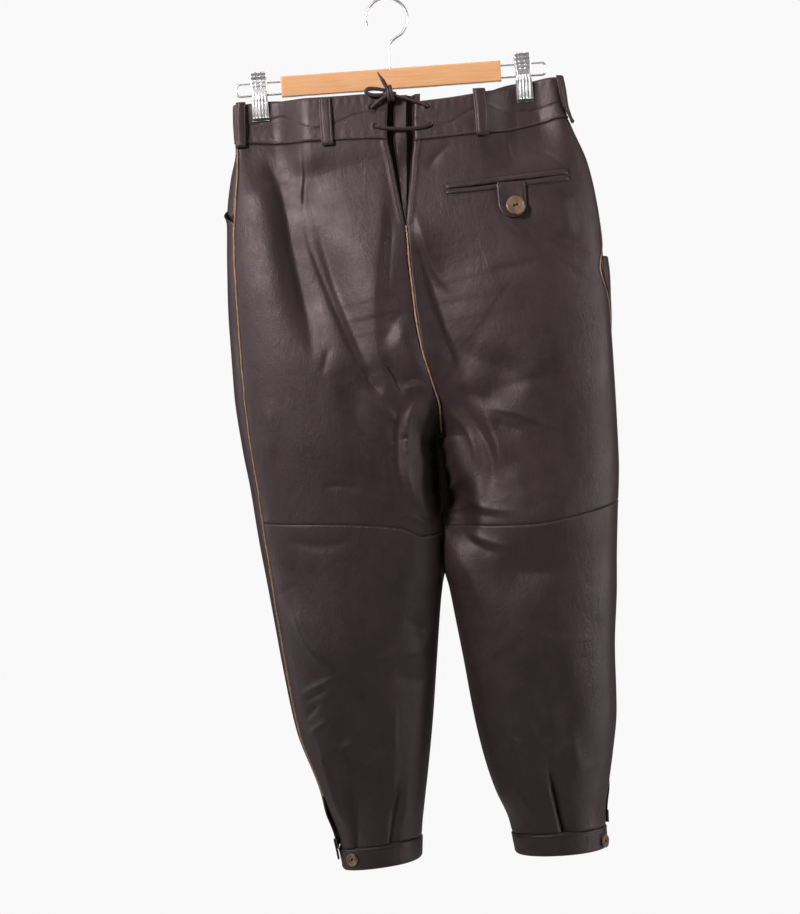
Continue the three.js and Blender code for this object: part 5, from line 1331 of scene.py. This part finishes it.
def button(name, node, diameter, thick, at, normal, roll):
    """A horn disc with a raised rim, a dished face and a slot with rounded ends."""
    r = diameter / 2
    turn = np.linspace(0, 2 * math.pi, BUTTON_STEPS, endpoint=False)
    slot_long, slot_wide = r * SLOT_LONG, r * SLOT_WIDE
    c, s = np.cos(turn), np.sin(turn)
    slot = np.stack([np.sign(c) * slot_long * (np.abs(c) > 0.02) + slot_wide * c, slot_wide * s * 1.3], 1)
    disc = np.stack([c, s], 1) * r
    rings = [(disc, *ring) for ring in BUTTON_RINGS] + [(slot, *ring) for ring in BUTTON_SLOT]
    verts = [np.zeros((1, 3))]
    for shape, size, high in rings:
        verts.append(np.column_stack([shape * size, np.full(BUTTON_STEPS, thick * high)]))
    verts = np.concatenate(verts + [np.array([[0, 0, thick * 0.05]])])
    faces = ring_faces(1, len(rings), BUTTON_STEPS)
    last = 1 + (len(rings) - 1) * BUTTON_STEPS
    for k in range(BUTTON_STEPS):
        k2 = (k + 1) % BUTTON_STEPS
        faces += [(0, 1 + k2, 1 + k), (last + k, last + k2, len(verts) - 1)]
    cr, sr = math.cos(roll), math.sin(roll)
    verts[:, :2] = verts[:, :2] @ np.array([[cr, sr], [-sr, cr]])
    turned = Vector((0, 0, 1)).rotation_difference(Vector(normal)).to_matrix()
    verts = verts @ np.array(turned).T + np.asarray(at)
    stands_for(build(name, verts, faces, [horn], "horn", sharp=50), node)


def face_at(leg, z, s, lift):
    """A point on a leg and the outward normal over the few millimetres round it."""

    def point(dz, ds):
        return skin(leg, np.array([z + dz]), np.array([s + ds]), lift, sewn=False)[0]

    normal = np.cross(point(0, 4) - point(0, -4), point(-4, 0) - point(4, 0)) * -leg.sign
    return point(0, 0), normal / np.linalg.norm(normal)


pocket_z, waist_z = -147.3, -38.0
at, normal = face_at(RIGHT, pocket_z, float(RIGHT.length_at(pocket_z, 128.7)), TAB_RISE + TAB_THICK + 0.9)
button("button_pocket", "pocket_button", 22.5, 4, at, normal, 0.35)
at, normal = face_at(LEFT, waist_z, float(LEFT.total_at(waist_z)) + 6, BAND_RISE + BAND_WALL + EDGE_GAP + SEAM_GAP)
button("button_waist", "waist_button", 17, 3.4, at, normal, 0)

# ---------------------------------------------------------------- knee bands
CUFF_LAP, CUFF_RISE, TONGUE_THICK = 12, 0.9, 1.6
CUFF_BUTTONS = {"left": (26, 10), "right": (38, 16)}  # from the outer seam, below the band's top
TONGUES = {"left": (11, -12), "right": (13, -1)}  # top and foot, from the band's top


def knee_ring(leg):
    """Lengths at the outer seam and all round, at the top of the knee band."""
    level = leg.cuff_top(1)
    return float(leg.seam_at(level)), float(leg.total_at(level))


def knee_share(leg, length):
    """Share of the way from the inner thigh to the outer seam, over the back or the front."""
    seam, total = knee_ring(leg)
    way = length / seam
    return np.minimum(1, np.where(way > 1, total / seam - way, way))


def cuff(leg, u, v):
    """The knee band's z and s, how far it laps under itself, and its length at the top ring."""
    seam, total = knee_ring(leg)
    start, end = seam + CUFF_LAP, seam - total - CUFF_LAP
    s0 = mix(start, end, u)
    share = knee_share(leg, np.abs(s0 + np.where(s0 < 0, total, 0)))
    z = leg.cuff_top(np.maximum(0, share)) - EDGE_GAP - CUFF_HEIGHT * v
    s = s0 * (leg.total_at(z) / total)
    return z, s, 1 - step(8, 30, s0 - end), s0


for leg in legs:
    v = spread(0.0, 1.0, 10, RIMS / CUFF_HEIGHT)[:, None]
    u = spread(0.0, 1.0, 210, RIMS / 330)[None]
    z, s, under, s0 = cuff(leg, u, v)
    d = np.minimum(np.minimum(v, 1 - v) * CUFF_HEIGHT + 0 * u, np.minimum(s0.max() - s0, s0 - s0.min()))
    ripple = 0.25 * np.sin(s0 / 7.1 + 1.5 * np.sin(s0 / 23)) * bell((v - 0.12) / 0.16)
    ripple = ripple + 0.35 * np.sin(s0 / 19 + 1) * bell((v - 0.5) / 0.5) - 0.3 * bell((v * CUFF_HEIGHT - 2.4) / 0.8)
    base = CUFF_RISE - (CUFF_WALL + EDGE_GAP) * under
    outer = skin(leg, z, s, base + ripple + rolled(d, 1.1, 2.4), folds=0, sewn=False)
    inner = skin(leg, z, s, base - CUFF_WALL - 0.3 * rolled(d, 1.1, 2.4), folds=0, sewn=False)
    stands_for(shell(f"knee_band_{leg.name}", outer, inner), f"cuff_{leg.name}")
    away_from, drop = CUFF_BUTTONS[leg.name]
    bz = float(leg.cuff_top(1)) - drop
    at, normal = face_at(leg, bz, float(leg.seam_at(bz)) - away_from + 6, CUFF_RISE + SEAM_GAP + 0.5)
    button(f"button_knee_{leg.name}", f"cuff_button_{leg.name}", 15, 3.2, at, normal, 0.6)
    top, foot = TONGUES[leg.name]
    v, u = np.linspace(0, 1, 14)[:, None], np.linspace(0, 1, 7)[None]
    z = leg.cuff_top(1) + mix(top, foot, v) + 0 * u
    s = leg.seam_at(z) + 4 + 7 * u
    lift = vent_stands(leg, z, s) + EDGE_GAP + 1.8 - 0.4 * (2 * u - 1) ** 4  # its long edges turn in
    piece = shell(f"vent_tongue_{leg.name}", skin(leg, z, s, lift), skin(leg, z, s, lift - TONGUE_THICK))
    stands_for(piece, f"cuff_tongue_{leg.name}")
    v, u = np.linspace(0, 1, 20)[:, None], np.linspace(0, 1, 8)[None]
    z = mix(VENT_TOP + 4, leg.cuff_top(1) + EDGE_GAP, v) + 0 * u
    s = leg.seam_at(z) + mix(-9, 12, u)
    walls = [skin(leg, z, s, -(LEATHER + depth)) for depth in (0.5, 1.7)]
    stands_for(shell(f"vent_lining_{leg.name}", *walls, flesh, flesh, "lining"), f"vent_facing_{leg.name}")

for leg in legs:
    turned_seam(leg, f"knee_seam_allowance_{leg.name}",
                lambda u: leg.cuff_top(knee_share(leg, u * knee_ring(leg)[1])),
                lambda z, u: leg.total_at(z) * mix(0.004, 0.996, u), 110, 6, 5)

# ---------------------------------------------------------------- knife pocket on the right thigh
KNIFE_TOP, KNIFE_FOOT, KNIFE_WIDE, KNIFE_STANDS = -208, -362, 48, 4.6
v = spread(0.0, 1.0, 50, RIMS / 154)[:, None]
u = spread(0.0, 1.0, 18, RIMS / KNIFE_WIDE)[None]
z = mix(KNIFE_TOP, KNIFE_FOOT, v) + 0 * u
loose = KNIFE_STANDS * bell((z - KNIFE_TOP) / 62) * np.sin(math.pi * np.clip(u, 0.0001, 0.9999)) ** 0.6
s = RIGHT.seam_at(z) + 2.2 + KNIFE_WIDE * u
d = rim_distance(s, z)
lift = SEAM_GAP + LEATHER + loose - 0.3 * bell((d - 2.8) / 0.8)
outer = skin(RIGHT, z, s, lift + rolled(d, 0.8, 1.8), sewn=False)
inner = skin(RIGHT, z, s, lift - LEATHER, sewn=False)
stands_for(shell("knife_pocket_sheath", outer, inner), "knife_pocket")
knife_z, knife_s, knife_lift, knife_d = z, s, lift, d


# ---------------------------------------------------------------- tubes
def tube(points, radius, sides=14, squash=1.0, across=(0, 1, 0)):
    """Verts and faces of a closed tube along points; radius may change along it."""
    p = np.asarray(points, float)
    n = len(p)
    r = np.broadcast_to(np.asarray(radius, float), n)
    t = unit(np.gradient(p, axis=0))
    a = np.array(across, float)
    if abs(t[0] @ a) > 0.9:
        a = np.array([0, 0, 1.0])
    turn = np.arange(sides) / sides * 2 * math.pi
    verts = []
    for i in range(n):
        a = a - t[i] * (a @ t[i])
        a = a / np.linalg.norm(a)
        b = np.cross(t[i], a)
        verts.append(p[i] + r[i] * (np.cos(turn)[:, None] * a * squash + np.sin(turn)[:, None] * b))
    verts = np.concatenate(verts + [p[:1], p[-1:]])
    faces = ring_faces(0, n, sides)
    first, last = n * sides, n * sides + 1
    for k in range(sides):
        k2 = (k + 1) % sides
        faces.append((first, k2, k))
        faces.append((last, (n - 1) * sides + k, (n - 1) * sides + k2))
    return verts, faces


def merged(*parts):
    """Several bodies' points and faces as one."""
    verts, faces, start = [], [], 0
    for points, quads in parts:
        verts.append(points)
        faces += [tuple(i + start for i in face) for face in quads]
        start += len(points)
    return np.concatenate(verts), faces


def rounded_path(stops, count):
    """An even smooth path through 3-D stops."""
    line = catmull_rom(stops, 10)
    run = lengths_along(line)
    return sampled(np.linspace(0, run[-1], count), run, line)


# ---------------------------------------------------------------- lace
LACE_WIDE, LACE_FLAT = 4.6, 0.64
# Stops of the lace and its ends: x, z, and how far out of the back's face.
LACE = [
    (-6, -8, 4.4), (-13, -14, 3.6), (-19.5, -18.6, 3.5), (-23.6, -20.6, 3.4), (-24.6, -21, 1.8),
    (-24.6, -21, -2.6), (-24.4, -22.4, -4.6), (-23.4, -30, -5), (-22, -41.6, -4.6), (-21.5, -43.2, -2.6),
    (-21.5, -43.2, 1.8), (-20.4, -43.8, 3.5), (-14, -45.8, 3.7), (-4, -47.8, 3.6), (10, -49, 3.5),
    (24, -49.2, 3.6), (34, -48.2, 3.8), (39.6, -46.9, 3.5), (40.5, -46.6, 1.8), (40.5, -46.6, -2.6),
    (40.3, -45, -4.6), (39.6, -36, -5), (38.9, -26.2, -4.6), (38.7, -24.6, -2.6), (38.7, -24.6, 1.8),
    (37.6, -24, 3.5), (30, -20.4, 3.9), (18, -15.5, 4.2), (6, -11, 4.8), (0, -8.5, 5),
]
LOOP_STOPS = [(-4, -7, 6), (-13, -8.6, 7), (-24, -7.6, 7.6), (-30, -4, 8), (-26, -0.4, 8.4), (-14, -2.2, 8),
              (-5, -4.8, 7)]
UP_TAIL = [(-3, -8, 8), (-6, -1, 9.4), (-9.6, 7, 9.8), (-15, 17, 10)]
DOWN_TAIL = [(2, -8, 6.6), (-5, -9.4, 7.6), (-12, -12.8, 7.4), (-19, -17.4, 6.6), (-25.5, -22.6, 6)]


def lace_points(stops):
    st = np.array(stops, float)
    p = on_back(st[:, 0], np.minimum(st[:, 1], 1), 0.0, sewn=False)
    return np.stack([p[:, 0], p[:, 1] - st[:, 2], st[:, 1]], 1)


def thong(name, stops, count, wide, taper=None):
    """A flat leather thong with rounded edges along its stops."""
    path = rounded_path(lace_points(stops), count)
    size = wide / 2 * (1 if taper is None else np.interp(np.linspace(0, 1, count), *taper))
    piece = build(name, *tube(path, size, 16, LACE_FLAT), [strap_leather], "lace", sharp=70)
    path = (path + PLACE) / 1000
    return piece, path, float(np.linalg.norm(np.diff(path, axis=0), axis=1).sum())


lace_main, lace_path, lace_length = thong("lace_thong", LACE, 150, LACE_WIDE)
stands_for(lace_main, "lace")
CROSSING_R, CROSSING_HALF = 3.2, 8
crossing = lowest + np.array([0, 1, 0]) * np.linspace(-CROSSING_HALF, CROSSING_HALF, 12)[:, None]
build("crotch_seam_allowance", *tube(crossing + np.array([0, 0, 0.6]), CROSSING_R, 14), [flesh], "lining")

# The knot: a short core with two turns round it, each with its tilt, half width, half height and x.
KNOT_AT, KNOT_CORE_R, KNOT_TURN_R = (-3, -7.6, 5.6), 3.2, 2.1
KNOT_CORE = [[-7, 0.4, -1], [-2, -0.6, 0.4], [2, -0.6, -0.4], [6.5, 0.6, -1.6]]
KNOT_TURNS = [(0.15, 3.9, 7.2, -1.5), (0.25, 4.2, 7.8, 1.9)]
knot_at = lace_points([KNOT_AT])[0]
turn = np.linspace(0, 2 * math.pi, 40)
wraps = []
for tilt, wide, high, x in KNOT_TURNS:
    ring = np.stack([x + 0.8 * np.sin(turn), -wide * np.cos(turn), high * np.sin(turn)], 1)
    c, s = math.cos(tilt), math.sin(tilt)
    wraps.append(tube(ring @ np.array([[c, 0, s], [0, 1, 0], [-s, 0, c]]) + knot_at, KNOT_TURN_R, 12))
core = tube(rounded_path(np.array(KNOT_CORE) + knot_at, 24), KNOT_CORE_R, 12)
knot = build("lace_knot", *merged(core, *wraps), [strap_leather], "lace", sharp=60)
tails = [thong(name, stops, 50, wide, taper) for name, stops, wide, taper in (
    ("lace_bow", LOOP_STOPS, 4.2, None), ("lace_end_up", UP_TAIL, 4.4, ([0, 0.6, 1], [1, 1, 0.3])),
    ("lace_end_down", DOWN_TAIL, 3.8, ([0, 0.7, 1], [1, 1, 0.6])))]

# ---------------------------------------------------------------- hanger
HOOK_RISE, BAR_LONG, BAR_HIGH, BAR_THICK, BAR_EDGE, BAR_SIDES = 80, 253, 24, 9, 1.7, 72
HOOK_R, FRAME_R = 1.6, 1.3
BAR_MID = -HOOK_RISE - BAR_HIGH / 2
WIRES = [BAR_MID + 6.5, BAR_MID - 7.5]
FRAME_END = 178


def bar():
    """A long box with rounded edges, its ends a little smaller."""
    t = np.linspace(0, 2 * math.pi, BAR_SIDES, endpoint=False)
    hy, hz = BAR_THICK / 2, BAR_HIGH / 2
    c, s = np.cos(t), np.sin(t)
    across, high = (np.sign(d) * (half - BAR_EDGE) + BAR_EDGE * d for d, half in ((c, hy), (s, hz)))
    x = spread(-BAR_LONG / 2, BAR_LONG / 2, 60, np.array([0, 0.25, 0.7, 1.4]))
    inset = 0.085 * (1 - np.clip((BAR_LONG / 2 - np.abs(x)) / 1.2, 0, 1)) ** 2 * hy * 1.2
    verts = [np.stack([np.full(BAR_SIDES, at), across * (1 - i / hy), high * (1 - i / hz) + BAR_MID], 1)
             for at, i in zip(x, inset)]
    return np.concatenate(verts), capped_rings(0, len(x), BAR_SIDES)


stands_for(build("wooden_bar", *bar(), [wood], "wood", sharp=45, hung=False), "hanger_bar")


def frame_wire(side):
    """A wire out of the bar, round a bend and back into it."""
    corner = 4.5
    start = BAR_LONG / 2 - 34
    stops = [(side * x, 0, WIRES[0]) for x in np.linspace(start, FRAME_END - corner, 12)]
    for centre, a0, a1 in ((WIRES[0] - corner, 90, 0), (WIRES[1] + corner, 0, -90)):
        for deg in np.linspace(a0, a1, 12)[1:]:
            a = math.radians(deg)
            stops.append((side * (FRAME_END - corner + corner * math.cos(a)), 0, centre + corner * math.sin(a)))
    stops += [(side * x, 0, WIRES[1]) for x in np.linspace(FRAME_END - corner, start, 12)[1:]]
    return tube(stops, FRAME_R, 18)


for name, side in (("left", -1), ("right", 1)):
    piece = build(f"clip_wire_{name}", *frame_wire(side), [chrome], "chrome", sharp=60, hung=False)
    stands_for(piece, f"hanger_wire_{name}")

HOOK_BEND = 24
STEM_FOOT = BAR_MID - 3
stops = [(0, 0, STEM_FOOT), (0, 0, -75), (0, 0, -58), (0.9, 0, -53.4), (3.6, 0, -49), (8.4, 0, -45.2)]
for deg in np.arange(-52, 197, 15.5):
    a = math.radians(deg)
    stops.append((HOOK_BEND * math.cos(a), 0, HOOK_R - HOOK_BEND + HOOK_BEND * math.sin(a)))
hook = tube(rounded_path(stops, 150), HOOK_R, 18)
stands_for(build("hanger_hook", *hook, [chrome], "chrome", sharp=60, hung=False), "hook")

# ---------------------------------------------------------------- clips
CLIP_WIDE, CLIP_TOP, CLIP_FOOT, CLIP_SHEET = 19, -74, -130, 1.3
JAW_FACE = PINCH_Y + BAND_RISE + SEAM_GAP + 0.25
JAW = [(8.2, CLIP_TOP), (6.8, -79), (5.2, -84), (5, -98), (5.2, -103), (JAW_FACE + 1.6, -110),
       (JAW_FACE + 0.6, -122), (JAW_FACE, -126), (JAW_FACE, CLIP_FOOT)]


RIB_PITCH, FLUTES = 4.3, (-0.6, -0.2, 0.2, 0.6)


def jaw(x_mid, side):
    """Pressed sheet: cross ribs on the thumb grip, long flutes down to the lip, edges turned in."""
    way = curve([p[1] for p in JAW], [p[0] for p in JAW])
    z = np.linspace(CLIP_TOP, CLIP_FOOT, 110)[:, None]
    q = np.linspace(-1, 1, 57)[None]
    ribs = -1.1 * np.clip(np.cos((z - CLIP_TOP) * 2 * math.pi / RIB_PITCH) - 0.35, 0, 1) * (1 - step(-93, -95, z))
    ribs = ribs * step(0.1, 0.16, 0.5 - np.abs(np.mod((q + 1) * 1.5, 1) - 0.5))
    flutes = -0.7 * sum(bell((q - at) / 0.055) for at in FLUTES)
    flutes = flutes * step(-97, -101, z) * (1 - step(-126, -129, z))
    turned = -1.6 * step(0.86, 1.0, np.abs(q)) * (1 - step(-100, -108, z))
    belly = 0.3 * (1 - q**2) * step(-96, -110, z) * (1 - step(-118, -129, z))
    y = way(z) + CLIP_SHEET - 0.3 + ribs * 0.6 + flutes + turned + belly
    x = x_mid + q * CLIP_WIDE / 2 * (1 - 0.10 * bell((z + 98) / 9))
    level = z + 0 * q - WAIST_Z
    return [np.stack([x, side * (y - depth), level], -1) for depth in (0, 1.0)]


PIN_Z, COIL_TURNS, COIL_R = -93.0, 6, 3.0
for name, x in (("left", -CLIP_X), ("right", CLIP_X)):
    for face, side in (("back", -1), ("front", 1)):
        piece = shell(f"clip_plate_{face}_{name}", *jaw(x, side), chrome, chrome, "chrome", 50)
        stands_for(piece, f"clip_jaw_{face}_{name}")
        u = np.linspace(-1, 1, 31)
        pad = np.stack([x + u * (CLIP_WIDE / 2 + 0.15), np.full(31, side * (JAW_FACE + 0.75)),
                        np.full(31, CLIP_FOOT + 1.9)], 1)
        r = 1.75 * np.sqrt(np.clip(1 - np.abs(u) ** 8, 0.15, 1))
        lip = tube(pad, r, 14, 0.62)
        build(f"clip_lip_{face}_{name}", *lip, [rubber], "chrome", sharp=60, hung=False)
    # The slider between the jaws: two cheeks, the pivot pin and the coiled spring on it.
    a = np.radians(np.linspace(0, 360, 37))[:-1]
    c, s = np.cos(a), np.sin(a)
    outline = np.stack([np.sign(c) * 4.3 * np.abs(c) ** 0.5, np.sign(s) * 9.6 * np.abs(s) ** 0.6 - 93.3], 1)
    parts = []
    for cheek in (-1, 1):
        walls = [np.column_stack([np.full(len(a), x + cheek * at), outline]) for at in (7.4, 6.5)]
        parts.append((np.concatenate(walls), capped_rings(0, 2, len(a))))
    pin = np.column_stack([np.linspace(x - 8.6, x + 8.6, 12), np.zeros(12), np.full(12, PIN_Z)])
    parts.append(tube(pin, 1.5, 14))
    turn = np.linspace(0, 2 * math.pi * COIL_TURNS, 170)
    coil = np.column_stack([x - 5 + 10 * turn / turn[-1], COIL_R * np.cos(turn), PIN_Z + COIL_R * np.sin(turn)])
    parts.append(tube(coil, 0.75, 8))
    piece = build(f"clip_slider_{name}", *merged(*parts), [chrome], "chrome", sharp=45, hung=False)
    stands_for(piece, f"clip_body_{name}")

# ---------------------------------------------------------------- sewing
ON_LEATHER = 0.05
for leg in legs:
    rows = []
    z = np.linspace(-60.5, V_FOOT - 4, 90)
    for inset, high in ((2.4, 0.45), (5.3, 0.8)):
        rows.append(sewn_along(leg, z, opening_edge(z) + inset, high))
    u = np.linspace(0.006, 0.994, 150)
    z = leg.knee(u) - SEAM_GAP / 2 - 2.4
    rows.append(sewn_along(leg, z, mix(1.5, leg.seam_at(z) - 3, u), ON_LEATHER))
    z = np.linspace(-104, -134, 40)
    for inset in (2.6, 6.2):
        s = leg.seam_at(z) + mouth(z) + inset
        rows.append(sewn_along(leg, z, s, mouth_lift(leg, z, s) + ON_LEATHER))
    stitches(f"sewing_panels_{leg.name}", rows, pale_thread)

for leg in legs:
    rows = []
    u = np.linspace(0.006, 0.994, 420)
    for z in (leg.band_foot(u) + 2.6, leg.band_top(u) - 2.2):
        s = band_length(leg, z, u)
        rows.append(sewn_along(leg, z, s, band_lift(leg, z, s, u) + 0.1, sewn=False))
    x, z = WAVES[leg.name][3:-3].T
    s = leg.length_at(z, x)
    lift = band_lift(leg, z, s, leg.band_share(z, s))
    rows.append(sewn_along(leg, z, s, lift + 0.15, sewn=False))
    stitches(f"sewing_waistband_{leg.name}", rows, pale_thread, 2.9, 2.2, 0.27)

pocket_rows = []
for line, shift in ((POCKET_UPPER, 1.6), (POCKET_LOWER, -1.6)):
    pocket_rows.append(back_line([(x, z + shift) for x, z in line], 0.08, 120, sewn=False))
for x0, top, foot in ((50.4, -115.2, -129.2), (195.1, -105.4, -122)):
    pocket_rows.append(back_line([(x0, top), (x0 + 0.3, foot)], 0.3, 12, sewn=False))
z1 = np.linspace(TAB_TOP - 3, TAB_FOOT + TAB_HALF, 16)
turn = np.linspace(0, math.pi, 44)
for inset in (2.6, 4.6):
    r = TAB_HALF - inset
    xs = np.concatenate([TAB_X - r + 0 * z1, TAB_X - r * np.cos(turn), TAB_X + r + 0 * z1])
    zs = np.concatenate([z1, TAB_FOOT + TAB_HALF - r * np.sin(turn), z1[::-1]])
    pocket_rows.append(sewn_on_back(xs, zs, TAB_RISE + TAB_THICK + ON_LEATHER, sewn=False))
stitches("sewing_pocket", pocket_rows, thread, 2.5, 1.9, 0.28)
stitches("sewing_belt_loops", loop_rows, pale_thread, 2.5, 1.9, 0.34)

rows = []
for leg in legs:
    u = np.linspace(0.01, 0.99, 260)
    for inset in (2.4, CUFF_HEIGHT - 2.2):
        z, s, under, _ = cuff(leg, u, inset / CUFF_HEIGHT)
        lift = CUFF_RISE - (CUFF_WALL + EDGE_GAP) * under + ON_LEATHER
        rows.append(sewn_along(leg, z, s, lift, folds=0, sewn=False))
stitches("sewing_knee_bands", rows, thread, 2.9, 2.1, 0.28)

rows = []
near = int(np.argmin(np.abs(knife_d[len(knife_d) // 2, :9] - 2.8)))
for line in ((slice(4, -4), near), (slice(4, -4), -1 - near), (4, slice(4, -4))):
    rows.append(sewn_along(RIGHT, knife_z[line], knife_s[line], knife_lift[line] + 0.1, sewn=False))
v = np.linspace(0.02, 0.96, 120)
z = mix(FLY_TOP, FLY_FOOT, v)
for inset in (3, 5.4):
    rows.append(sewn_along(LEFT, z, LEFT.total_at(z) - fly_reach(v) + inset, FLY_RISE + 0.1, sewn=False))
stitches("sewing_fly_and_knife_pocket", rows, thread, 2.9, 2.1, 0.28)

# ---------------------------------------------------------------- an empty pass over the belt loops
for name, leg, share, x, top, foot in LOOPS:
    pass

# ---------------------------------------------------------------- floor
FLOOR_R, FLOOR_Z, FLOOR_SIDES = 1.6, -1.5, 96
floor_mesh = bpy.data.meshes.new("floor")
turn = np.linspace(0, 2 * math.pi, FLOOR_SIDES, endpoint=False)
rim = [(FLOOR_R * math.cos(a), FLOOR_R * math.sin(a) + 0.1, FLOOR_Z) for a in turn]
floor_mesh.from_pydata(rim, [], [tuple(range(FLOOR_SIDES))])
floor = bpy.data.objects.new("floor", floor_mesh)
pale = Shader("pale_floor", Roughness=0.8)
pale.main.inputs["Base Color"].default_value = (0.9, 0.9, 0.9, 1)
floor_mesh.materials.append(pale.material)
scene.collection.objects.link(floor)
